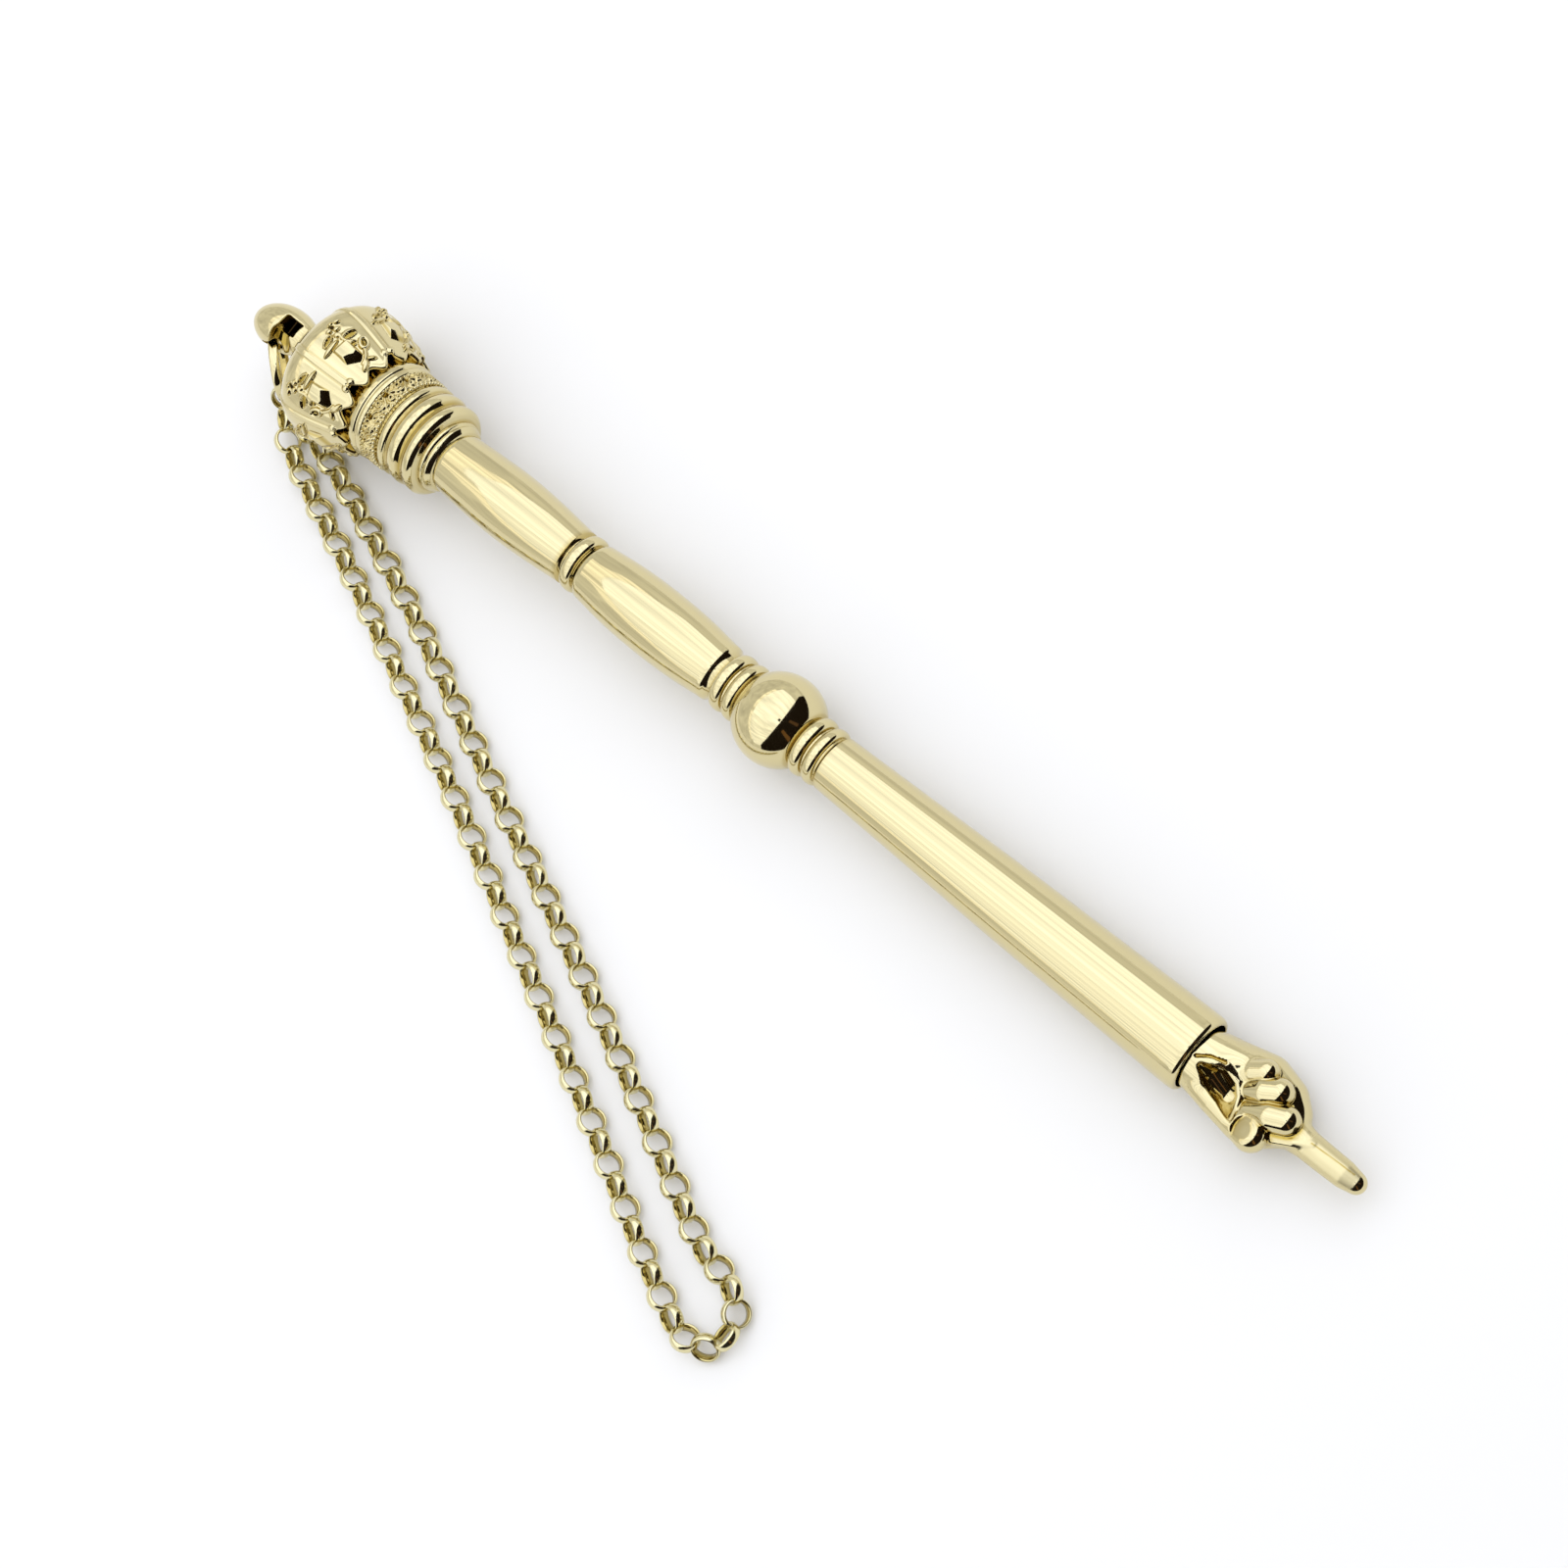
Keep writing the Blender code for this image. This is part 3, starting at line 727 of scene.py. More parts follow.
@dataclass(frozen=True)
class Boss:
    """A rounded, raised or sunken oval of the relief.

    Attributes:
        centre: Middle, as (across, station).
        semi_axes: Half of its length along its own direction, and half of its width.
        turn: Its direction, in degrees from the across direction.
        height: How far it stands up, or below zero for a pit.
        squareness: 2 for an ellipsoid, and more for steeper sides and a flatter top.
    """

    centre: tuple[float, float]
    semi_axes: tuple[float, float]
    turn: float
    height: float
    squareness: float = 2.0

    def reach(self, across: Array, station: Array) -> Array:
        """How far out each point is, 1 being the edge.

        Args:
            across: Distance across, in millimetres.
            station: Stations along the pointer.

        Returns:
            One value for each point.
        """
        angle = math.radians(self.turn)
        dx, dy = across - self.centre[0], station - self.centre[1]
        u = (dx * math.cos(angle) + dy * math.sin(angle)) / self.semi_axes[0]
        v = (dy * math.cos(angle) - dx * math.sin(angle)) / self.semi_axes[1]
        return np.hypot(u, v)

    def raise_over(self, across: Array, station: Array) -> Array:
        """Height that the oval adds at each point."""
        inside = np.clip(1 - self.reach(across, station) ** self.squareness, 0, 1)
        return self.height * np.sqrt(inside)


@dataclass(frozen=True)
class PanelOrnament:
    """The scroll and leaves in one panel of the crown, in millimetres across it and stations along it.

    Attributes:
        leaf: Height of the leaves.
        bud: Height of the big bud.
        curl: Height of the scroll.
    """

    leaf: float = 0.50
    bud: float = 0.72
    curl: float = 0.60

    def bosses(self) -> list[Boss]:
        """The swelling shapes: petals round the top hole, leaves and the lower leaves.

        Returns:
            The ovals.
        """
        return [
            Boss((1.65, -89.85), (0.62, 0.38), 14, self.leaf, 3.0),
            Boss((-0.30, -89.25), (0.50, 0.42), 0, self.leaf, 3.0),
            Boss((0.75, -88.85), (0.60, 0.42), 0, self.leaf, 3.0),
            Boss((0.10, -88.05), (0.50, 0.50), 0, self.leaf, 3.0),
            Boss((-1.55, -88.25), (1.25, 0.60), -19, self.leaf, 3.5),
            Boss((-1.95, -87.20), (1.75, 0.40), -7, self.leaf, 3.0),
            Boss((1.45, -87.15), (1.40, 0.72), 4, self.leaf, 3.5),
            Boss((0.90, -85.70), (0.62, 0.55), 0, self.leaf, 3.0),
            Boss((-0.20, -82.05), (1.05, 0.42), -30, self.leaf, 3.0),
            Boss((1.25, -82.35), (0.80, 0.36), 30, 0.8 * self.leaf, 3.0),
        ]

    def ridges(self) -> list[Ridge]:
        """The stems and the scroll's loop.

        Returns:
            The lines.
        """
        loop = []
        for turn in np.linspace(0, math.tau, 15):
            long, short = 0.86 * math.cos(turn), 0.56 * math.sin(turn)
            loop.append((2.05 + 0.64 * long - 0.77 * short, -84.75 - 0.77 * long - 0.64 * short))
        return [
            Ridge([(0.15, -89.9), (0.45, -90.25), (0.90, -90.15)], 0.22, 0.8 * self.leaf),
            Ridge([(0.40, -87.9), (0.25, -87.3), (0.35, -86.6), (0.70, -86.1)], 0.26, self.leaf),
            Ridge(loop, 0.30, self.curl),
            Ridge([(1.50, -83.95), (1.05, -83.35), (0.45, -82.75), (-0.30, -82.45)], 0.28, self.leaf),
        ]

    def pits(self) -> list[Boss]:
        """The holes and the sunken middles of the leaves.

        Returns:
            The sunken ovals.
        """
        return [
            Boss((0.50, -89.62), (0.40, 0.38), 0, -1.8, 5.0),
            Boss((-1.55, -88.20), (0.90, 0.28), -19, -0.80, 4.0),
            Boss((1.45, -86.92), (1.10, 0.36), 4, -0.85, 4.0),
            Boss((-1.90, -86.74), (1.60, 0.13), -9, -0.35, 3.0),
            Boss((0.88, -85.52), (0.42, 0.26), 0, -0.70, 4.0),
            Boss((2.05, -84.75), (0.46, 0.20), -50, -1.3, 4.0),
            Boss((-0.35, -81.45), (0.70, 0.13), -24, -0.35, 3.0),
        ]

    def bud_over(self, across: Array, station: Array) -> Array:
        """Height of the big bud, level on top and falling in two long faces to its tip.

        Args:
            across: Distance across, in millimetres.
            station: Stations along the pointer.

        Returns:
            One height for each point.
        """
        sides = [
            0.52 * (0.52 * (across + 2.15) - 0.85 * (station + 83.9)),
            0.50 * (-0.35 * (across + 0.75) - 0.94 * (station + 82.65)),
            1.50 * (0.75 - across),
            1.50 * (across + 2.15),
            1.80 * (station + 86.75),
            self.bud + 0.12 * (station + 84.8),
        ]
        height = np.min(np.broadcast_arrays(*sides), axis=0)
        return np.clip(height, 0, self.bud)

    def height_over(self, across: Array, station: Array) -> tuple[Array, Array]:
        """Height of the ornament at each point, and the depth of its pits, which is painted as shade.

        Args:
            across: Distance across, in millimetres.
            station: Stations along the pointer.

        Returns:
            Heights and painted shade, one of each for every point.
        """
        height = self.bud_over(across, station)
        for shape in [*self.bosses(), *self.ridges()]:
            height = np.maximum(height, shape.raise_over(across, station))
        depth = np.zeros(across.shape)
        for pit in self.pits():
            depth = np.minimum(depth, pit.raise_over(across, station))
        # The pits' depth is returned a second time as painted shade.
        return height + depth, -depth


@dataclass(frozen=True)
class VineOrnament:
    """One repeat of the scrolling vine on the crown's band, in millimetres across it and stations along it.

    Attributes:
        height: Height of the vine.
        curl_radius: Radius of its curls.
        curl_turn: Angle that a curl goes round.
    """

    height: float = 0.42
    curl_radius: float = 0.42
    curl_turn: float = 5.2

    def curl(self, across: float, station: float, hand: int) -> Ridge:
        """A curl about a middle, right-handed for 1 and left-handed for -1.

        Args:
            across: Middle of the curl, across.
            station: Middle of the curl, along.
            hand: 1 or -1, the way round.

        Returns:
            The curl as a raised line.
        """
        turns = np.linspace(0, self.curl_turn, 10)
        reach = self.curl_radius
        path = [(across + reach * math.cos(t), station + hand * reach * math.sin(t)) for t in turns]
        return Ridge(path, 0.20, self.height)

    def shapes(self) -> list[Ridge | Boss]:
        """Stem, curls, leaves and the small square frames.

        Returns:
            The lines and ovals.
        """
        stem = [(-1.95, -76.6), (-1.3, -76.0), (-0.3, -76.1), (0.2, -76.8), (0.9, -77.0), (1.95, -76.6)]
        return [
            Ridge(stem, 0.24, self.height),
            self.curl(-0.95, -76.95, 1),
            self.curl(0.95, -76.05, -1),
            Boss((-0.1, -77.45), (0.45, 0.28), 15, self.height, 3.0),
            Boss((1.25, -77.50), (0.42, 0.22), -20, 0.9 * self.height, 3.0),
            Boss((-1.35, -77.55), (0.30, 0.22), 25, 0.9 * self.height, 3.0),
            Boss((-0.3, -75.60), (0.40, 0.24), -15, self.height, 3.0),
            Boss((-1.45, -75.50), (0.32, 0.24), 30, 0.9 * self.height, 3.0),
            Boss((1.70, -75.55), (0.30, 0.24), 0, 0.9 * self.height, 3.0),
        ]

    def height_over(self, across: Array, station: Array) -> tuple[Array, Array]:
        """Height of the vine at each point, and the painted shade that darkens its square pits.

        Args:
            across: Distance across, in millimetres.
            station: Stations along the pointer.

        Returns:
            Heights and painted shade, one of each for every point.
        """
        height = np.zeros(across.shape)
        for shape in self.shapes():
            height = np.maximum(height, shape.raise_over(across, station))
        square = np.maximum(np.abs(across - 0.70), np.abs(station + 77.15)) / 0.38
        pit = np.clip(1 - square**6, 0, 1)
        # The square pits are painted near black as shade.
        return np.where(pit > 0, -0.7 * pit, height), 1.9 * pit


# ---------------------------------------------------------------- crown head


@dataclass(frozen=True)
class CrownShape:
    """Sizes of the crown head, in stations and radii.

    Attributes:
        top: Station of the bulb's top.
        belly: Station of its widest place.
        belly_radius: Radius there.
        squareness: 2 for a round top, and more for a flatter one.
        skirt_end: Station of the skirt's longest points.
        skirt_end_radius: Radius there.
        skirt_end_slope: How fast the radius falls there.
        panels: Number of panels and of ribs.
        turn: Angle of the first rib from +Z.
        scallops_per_panel: Number of scallops between two ribs.
        scallop_depth: How far the scallops cut back.
        skirt_thickness: Thickness of the skirt's edge.
        edge_bulge: How far the rounded edge stands out.
        lining_radius: Radius to which the skirt's underside goes in.
        rib_half_width: Half of a rib's width.
        rib_height: How far a rib stands up.
        rib_end: Station of a rib's foot.
        groove_depth: Depth of the fine groove beside a rib.
        foot_knob: Radius of each of the two knobs at a rib's foot.
        foot_knob_height: How far they stand up.
        rim_height: Height of the fine rim along the scallops.
    """

    top: float = -95.4
    belly: float = -90.0
    belly_radius: float = 10.85
    squareness: float = 2.15
    skirt_end: float = -80.3
    skirt_end_radius: float = 8.5
    skirt_end_slope: float = -0.26
    panels: int = 7
    turn: float = math.radians(-6.8)
    scallops_per_panel: int = 2
    scallop_depth: float = 1.75
    skirt_thickness: float = 0.7
    edge_bulge: float = 0.22
    lining_radius: float = 6.8
    rib_half_width: float = 0.50
    rib_height: float = 0.20
    rib_end: float = -82.4
    groove_depth: float = 0.14
    foot_knob: float = 0.52
    foot_knob_height: float = 0.42
    rim_height: float = 0.05

    @property
    def panel(self) -> float:
        """Angle of one panel."""
        return math.tau / self.panels

    def radius(self, station: Array) -> Array:
        """Radius of the plain bulb.

        Args:
            station: Stations along the pointer.

        Returns:
            One radius for each station.
        """
        rise = np.clip((self.belly - station) / (self.belly - self.top), 0, 1)
        above = self.belly_radius * np.maximum(0, 1 - rise**self.squareness) ** (1 / self.squareness)
        length = self.skirt_end - self.belly
        t = (station - self.belly) / length
        blend = t * t * (3 - 2 * t)
        below = self.belly_radius * (1 - blend) + self.skirt_end_radius * blend
        below = below + self.skirt_end_slope * length * t * t * (t - 1)
        return np.where(station <= self.belly, above, below)

    def edge(self, angle: Array) -> Array:
        """Station of the scalloped edge; angles are counted from a rib.

        Args:
            angle: Angles counted from a rib.

        Returns:
            One station for each angle.
        """
        phase = np.abs(np.sin(angle * self.panels * self.scallops_per_panel / 2))
        under_rib = 0.86 + 0.14 * np.cos(angle * self.panels)
        return self.skirt_end - self.scallop_depth * under_rib * (1 - phase**1.8)


@dataclass
class CrownBulb:
    """The onion-shaped bulb with its ribs, ornaments and scalloped skirt.

    Attributes:
        shape: Sizes of the bulb.
        ornament: What stands in each panel.
        columns_per_panel: Grid columns in one panel.
        top_rows: Grid rows over the belly.
        side_rows: Grid rows from the belly to the edge.
        lip_rows: Grid rows round the edge.
    """

    shape: CrownShape = field(default_factory=CrownShape)
    ornament: PanelOrnament = field(default_factory=PanelOrnament)
    columns_per_panel: int = 80
    top_rows: int = 44
    side_rows: int = 96
    lip_rows: int = 5

    def build(self) -> bpy.types.Object:
        """Makes the bulb's mesh object.

        Returns:
            The object.
        """
        shape = self.shape
        count = self.columns_per_panel * shape.panels
        angles = math.tau * np.arange(count) / count
        stations = self.row_stations(angles)
        radii = shape.radius(stations)
        grid = np.stack(
            [stations, radii * np.sin(angles + shape.turn), radii * np.cos(angles + shape.turn)], axis=-1
        )
        height, recess = self.relief(angles, stations, radii)
        grid = grid + grid_normals(grid) * height[..., None]
        grid, recess = self.with_lip(grid, recess)
        first, last = np.array([shape.top, 0.0, 0.0]), np.array([grid[-1, :, 0].mean(), 0.0, 0.0])
        points, faces = tube_with_caps(grid, first, last)
        # Painted shade: none at the top's middle point, dark at the hidden bottom's.
        shade = np.concatenate([recess.ravel(), [0.0, 1.0]])
        return lying_piece("crown_bulb", points, faces, shade)

    def row_stations(self, angles: Array) -> Array:
        """Station of every grid point, from near the top down to the scalloped edge.

        Args:
            angles: Angles of the columns.

        Returns:
            Stations by row and column.
        """
        shape = self.shape
        share = np.linspace(0.03, 1, self.top_rows, endpoint=False)
        rise = np.cos(share * math.pi / 2) ** (2 / shape.squareness)
        above = shape.belly - (shape.belly - shape.top) * rise
        above = np.repeat(above[:, None], len(angles), axis=1)
        share = np.linspace(0, 1, self.side_rows)[:, None]
        below = shape.belly + share * (shape.edge(angles)[None] - shape.belly)
        return np.vstack([above, below])

    def relief(self, angles: Array, stations: Array, radii: Array) -> tuple[Array, Array]:
        """Height of ribs, rim line and ornament over the plain bulb, and the painted shade of each point,
        darker the deeper it lies.

        Args:
            angles: Angles of the columns, counted from a rib.
            stations: Station of every grid point.
            radii: Radius of every grid point.

        Returns:
            Heights and painted shade by row and column.
        """
        shape = self.shape
        width = self.columns_per_panel
        middle = shape.panel / 2
        local = angles[:width] - middle
        across = local[None] * np.maximum(radii[:, :width], 4.0)
        # Each panel's ornament gives its height and the painted shade of its pits.
        plain, deep = self.ornament.height_over(across, stations[:, :width])
        mirrored, mirrored_deep = self.ornament.height_over(-across, stations[:, :width])
        half = shape.panels // 2 + 1
        height = np.hstack([plain] * half + [mirrored] * (shape.panels - half))
        depth = np.hstack([deep] * half + [mirrored_deep] * (shape.panels - half))
        # A painted dark outline round the foot of each ornament shape.
        foot = np.clip(height / self.ornament.leaf, 0, 1)
        depth = np.maximum(depth, 2.2 * foot * (1 - foot))

        from_rib = (angles + middle) % shape.panel - middle
        rib_across = np.abs(from_rib)[None] * radii
        on_rib = (stations < shape.rib_end) & (stations > shape.top + 0.5)
        flat = np.clip((shape.rib_half_width - rib_across) / 0.14, 0, 1)
        line = np.exp(-(((rib_across - shape.rib_half_width - 0.16) / 0.11) ** 2))
        height = height + np.where(on_rib, shape.rib_height * flat - shape.groove_depth * line, 0)
        # Painted shade in the fine groove beside each rib.
        depth = depth + np.where(on_rib, 0.30 * line, 0)

        knobs = np.hypot(rib_across - 0.62, stations - shape.rib_end - 0.30) / shape.foot_knob
        height = np.maximum(height, shape.foot_knob_height * np.sqrt(np.clip(1 - knobs**2, 0, 1)))

        from_edge = shape.edge(angles)[None] - stations
        height = height + shape.rim_height * np.exp(-(((from_edge - 0.25) / 0.20) ** 2))
        return height, np.clip(depth * 1.4, 0, 2)

    def with_lip(self, grid: Array, recess: Array) -> tuple[Array, Array]:
        """Adds the skirt's rounded edge and its underside, going in to where the base covers it, with painted
        shade under it.

        Args:
            grid: Points as rows, columns and coordinates.
            recess: Painted shade of every grid point.

        Returns:
            The longer grid and its painted shade.
        """
        shape = self.shape
        edge = grid[-1]
        across = edge[:, 1:] / np.linalg.norm(edge[:, 1:], axis=1, keepdims=True)
        # The lip darkens towards its underside and the lining is painted black: painted shade under the
        # skirt.
        rows, shades = [], []
        for step in range(1, self.lip_rows + 1):
            turn = math.pi * step / self.lip_rows
            inwards = shape.skirt_thickness / 2 * (1 - math.cos(turn))
            down = shape.edge_bulge * math.sin(turn)
            row = edge.copy()
            row[:, 0] += down
            row[:, 1:] -= across * inwards
            rows.append(row)
            shades.append(np.full(len(edge), 0.9 * step / self.lip_rows))
        inner = rows[-1].copy()
        inner[:, 0] -= 0.5
        inner[:, 1:] = across * shape.lining_radius
        rows.append(inner)
        shades.append(np.full(len(edge), 1.8))
        return np.concatenate([grid, np.array(rows)]), np.vstack([recess, np.array(shades)])


@dataclass
class CrownBase:
    """The cove, flange, vine band, three rings and collar under the skirt.

    Attributes:
        columns: Grid columns round the base.
        band: Stations of the vine band's two edges.
        band_radius: Radius of the band.
        repeats: How many times the vine repeats.
        turn: Angle at which the first repeat starts.
        bead_depth: How deep the small beads sit in the band.
    """

    columns: int = 420
    band: tuple[float, float] = (-77.75, -74.75)
    band_radius: float = 7.4
    repeats: int = 12
    turn: float = math.radians(-11.0)
    bead_depth: float = 0.06

    def outline(self) -> Array:
        """Outline of the base as (station, radius).

        Returns:
            The outline's rows.
        """
        low, high = self.band
        corners = [
            (-82.9, 7.05),
            (-81.7, 7.45),
            (-80.9, 7.62),
            (-80.3, 7.80),
            (-79.7, 7.93),
            (-79.05, 7.97),
            (-78.80, 7.74),
            (-78.60, 7.72),
            (-78.35, 7.82),
            (-77.95, 7.72),
            (low, 7.55),
            (low + 0.1, self.band_radius),
            (high - 0.1, self.band_radius),
            (high, 7.10),
            (-74.45, 7.06),
            (-74.25, 7.40),
            (-73.85, 7.52),
            (-73.40, 7.50),
            (-73.15, 7.34),
            (-73.00, 7.10),
            (-72.45, 7.12),
            (-72.10, 7.38),
            (-71.50, 7.51),
            (-71.05, 7.50),
            (-70.70, 7.36),
            (-70.30, 7.06),
            (-70.00, 6.90),
            (-69.50, 6.98),
            (-69.15, 7.22),
            (-68.70, 7.33),
            (-68.20, 7.28),
            (-67.90, 7.08),
            (-67.55, 6.72),
            (-67.40, 6.20),
            (-67.25, 5.75),
            (-67.05, 5.78),
            (-66.70, 5.76),
            (-66.55, 5.55),
            (-66.45, 5.40),
            (-66.30, 5.52),
            (-66.12, 5.50),
            (-65.75, 5.26),
            (-65.35, 4.95),
        ]
        return refined(rounded_outline(corners, 0.10, 2), 0.14)

    def build(self) -> bpy.types.Object:
        """Makes the base's mesh object.

        Returns:
            The object.
        """
        angles = math.tau * np.arange(self.columns) / self.columns
        outline = self.outline()
        grid = turned_grid(outline, angles)
        height, recess = self.relief(angles, outline[:, 0])
        grid = grid + grid_normals(grid) * height[..., None]
        first, last = np.array([outline[0, 0], 0.0, 0.0]), np.array([outline[-1, 0], 0.0, 0.0])
        points, faces = tube_with_caps(grid, first, last)
        # Painted shade from the vine and the grooves; both end caps are painted dark as well.
        deep = np.maximum(recess, self.groove_shade(outline)[:, None])
        shade = np.concatenate([deep.ravel(), [1.0, 0.5]])
        return lying_piece("crown_base", points, faces, shade)

    def groove_shade(self, outline: Array) -> Array:
        """Painted shade of each row: black in the cove under the skirt, and a painted warm reflection in the
        grooves between the rings.

        Args:
            outline: Outline as rows of (station, radius).

        Returns:
            One painted shade value for each row.
        """
        station, radius = outline[:, 0], outline[:, 1]
        crests = [(-81.0, 8.3), (-78.0, 7.8), (-74.0, 7.5), (-71.2, 7.5)]
        crests += [(-68.5, 7.34), (-66.8, 5.8), (-65.5, 5.1)]
        crest = np.interp(station, *zip(*crests))
        cove = 1.9 * np.clip((-81.25 - station) / 0.35, 0, 1)
        between = np.where(station > -80.2, np.clip((crest - radius - 0.12) / 0.42, 0, 1), 0)
        return np.maximum(cove, between)

    def relief(self, angles: Array, stations: Array) -> tuple[Array, Array]:
        """Height of the band's vine over the band, and the painted shade between its parts and in its pits.

        Args:
            angles: Angles of the columns.
            stations: Stations of the rows.

        Returns:
            Heights and painted shade by row and column.
        """
        share = math.tau / self.repeats
        local = ((angles - self.turn) % share - share / 2) * self.band_radius
        across, along = np.meshgrid(local, stations)
        height, pit = VineOrnament().height_over(across, along)
        low, high = self.band
        inside = (along > low) & (along < high)
        # Painted shade between the vine's parts, and near black in its pits.
        between = np.clip(1 - height / (0.5 * VineOrnament.height), 0, 1)
        return np.where(inside, height - 0.12, 0), np.where(inside, np.maximum(0.35 * between, pit), 0)

    def pebbles(self) -> tuple[Array, list[Vector], Array]:
        """Places, outward directions and sizes of the small beads along both edges of the band.

        Returns:
            World places, directions and scales.
        """
        generator = np.random.default_rng(7)
        places, turns, sizes = [], [], []
        lower_row = (self.band[1] - 0.28, 64, 0.32)
        upper_row = (self.band[0] - 0.02, 60, 0.26)
        for station, count, size in (lower_row, upper_row):
            for index in range(count):
                angle = math.tau * (index + generator.uniform(-0.15, 0.15)) / count
                outward = np.array((0.0, math.sin(angle), math.cos(angle)))
                along = np.array((station + generator.uniform(-0.04, 0.04), 0.0, 0.0))
                places.append(along + outward * (self.band_radius - self.bead_depth))
                turns.append(POSE.matrix.to_3x3() @ Vector(outward))
                stretch = generator.uniform(0.85, 1.15)
                sizes.append((size * stretch, size / stretch, size * generator.uniform(0.9, 1.3)))
        return POSE.place(np.array(places)), turns, np.array(sizes)

    def build_pebbles(self, material: bpy.types.Material) -> bpy.types.Object:
        """Lays the beads on the band with Geometry Nodes.

        Args:
            material: Finish of the copies.

        Returns:
            The beads as one object.
        """
        places, outwards, sizes = self.pebbles()
        turns = [tuple(outward.to_track_quat("Z", "X").to_euler()) for outward in outwards]
        return lay_copies("crown_beads", pebble_mesh(), places, turns, sizes, material)


def pebble_mesh() -> bpy.types.Mesh:
    """A low dome of unit radius, closed underneath.

    Returns:
        The mesh.
    """
    rows, columns = 4, 10
    points = [(0.0, 0.0, 1.0)]
    for row in range(1, rows + 1):
        tilt = math.radians(28 * row)
        for column in range(columns):
            turn = math.tau * column / columns
            points.append((math.sin(tilt) * math.cos(turn), math.sin(tilt) * math.sin(turn), math.cos(tilt)))
    points.append((0.0, 0.0, -0.6))
    faces: list[tuple[int, ...]] = []
    for column in range(columns):
        following = (column + 1) % columns
        faces.append((0, 1 + column, 1 + following))
        for row in range(rows - 1):
            near, far = 1 + row * columns, 1 + (row + 1) * columns
            faces.append((near + column, far + column, far + following, near + following))
        end = 1 + (rows - 1) * columns
        faces.append((end + column, len(points) - 1, end + following))
    return smooth_mesh("pebble", np.array(points), faces)


# ---------------------------------------------------------------- fused castings


@dataclass(frozen=True)
class Limb:
    """A run of balls joined in order.

    Attributes:
        balls: Ball centres and radii as (x, y, z, radius).
        blend: How softly the limb flows into what is already there.
    """

    balls: Sequence[Ball]
    blend: float = 0.5

    def distance(self, points: Array) -> Array:
        """Signed distance of every point to the limb.

        Args:
            points: Points in the pointer's frame.

        Returns:
            One distance for each point.
        """
        nearest = None
        for first, second in zip(self.balls, self.balls[1:]):
            one = round_cone(points, first, second)
            nearest = one if nearest is None else np.minimum(nearest, one)
        return nearest


def round_cone(points: Array, first: Ball, second: Ball) -> Array:
    """Signed distance to two balls and the cone between them, close to exact.

    Args:
        points: Points in the pointer's frame.
        first: First ball.
        second: Second ball.

    Returns:
        One distance for each point.
    """
    start = np.array(first[:3])
    along = np.array(second[:3]) - start
    length = float(along @ along)
    share = np.clip((points - start) @ along / max(length, 1e-9), 0, 1)
    slope = (first[3] - second[3]) / math.sqrt(max(length, 1e-9))
    offset = points - start - share[..., None] * along
    away = np.linalg.norm(offset, axis=-1)
    share = np.clip(share - slope * away / math.sqrt(max(length, 1e-9)), 0, 1)
    away = np.linalg.norm(points - start - share[..., None] * along, axis=-1)
    return away - (first[3] + share * (second[3] - first[3]))


def soft_union(one: Array, other: Array, blend: float) -> Array:
    """Joins two distance fields with a fillet."""
    mix = np.clip(0.5 + 0.5 * (other - one) / blend, 0, 1)
    return other * (1 - mix) + one * mix - blend * mix * (1 - mix)


def soft_cut(body: Array, cutter: Array, blend: float) -> Array:
    """Cuts one distance field from another with a rounded edge."""
    return -soft_union(-body, cutter, blend)


@dataclass
class FusedCasting:
    """A closed mesh of the surface where a distance field is zero.

    Attributes:
        name: Name of the object.
        field: Signed distance at an array of points.
        low: Lowest corner of the box that is searched.
        high: Highest corner of that box.
        voxel: Size of the search grid.
        painted_shade_and_seam_marks: Extra painted shade at each place, from 0 to 2, or the dark line of the
            hand's seam.
        places: The vertices in the pointer's frame, once built.
    """

    name: str
    field: Callable[[Array], Array]
    low: Triple
    high: Triple
    voxel: float = 0.15
    painted_shade_and_seam_marks: Callable[[Array], Array] | None = None
    places: Array | None = None

    def build(self) -> bpy.types.Object:
        """Makes the mesh object, with painted shade darkening its hollows.

        Returns:
            The object.
        """
        axes = [np.arange(low, high, self.voxel) for low, high in zip(self.low, self.high)]
        points = np.stack(np.meshgrid(*axes, indexing="ij"), axis=-1)
        values = self.field(points)
        corners, quads = surface_net(values)
        places = corners * self.voxel + np.array(self.low)
        for _ in range(3):
            places = self.to_surface(places)
        self.places = places
        # Painted shade: the more enclosed a place, the darker; extra painted shade or the seam line is added.
        hollow = self.hollowness(places)
        if self.painted_shade_and_seam_marks is not None:
            hollow = np.maximum(hollow, self.painted_shade_and_seam_marks(places))
        return lying_piece(self.name, places, quads.tolist(), hollow)

    def gradient(self, places: Array) -> tuple[Array, Array]:
        """Distance and its unit gradient at each place.

        Args:
            places: Vertices in the pointer's frame.

        Returns:
            Distances and directions.
        """
        step = 0.02
        value = self.field(places)
        slopes = []
        for axis in range(3):
            moved = places.copy()
            moved[:, axis] += step
            slopes.append((self.field(moved) - value) / step)
        slope = np.stack(slopes, axis=-1)
        return value, slope / np.maximum(np.linalg.norm(slope, axis=-1, keepdims=True), 1e-6)

    def to_surface(self, places: Array) -> Array:
        """Moves each place onto the surface along the gradient."""
        value, slope = self.gradient(places)
        return places - slope * np.clip(value, -self.voxel, self.voxel)[:, None]

    def hollowness(self, places: Array) -> Array:
        """How enclosed each place is, from 0 on open metal to 1 in a deep crease; it is painted as shade.

        Args:
            places: Vertices in the pointer's frame.

        Returns:
            One value for each place.
        """
        _, slope = self.gradient(places)
        enclosed = np.zeros(len(places))
        reaches = (0.5, 1.0, 1.8)
        for reach in reaches:
            clear = self.field(places + slope * reach)
            enclosed += np.clip(1 - clear / reach, 0, 1)
        gain, threshold = 1.9, 0.12
        return np.clip(enclosed / len(reaches) * gain - threshold, 0, 1)


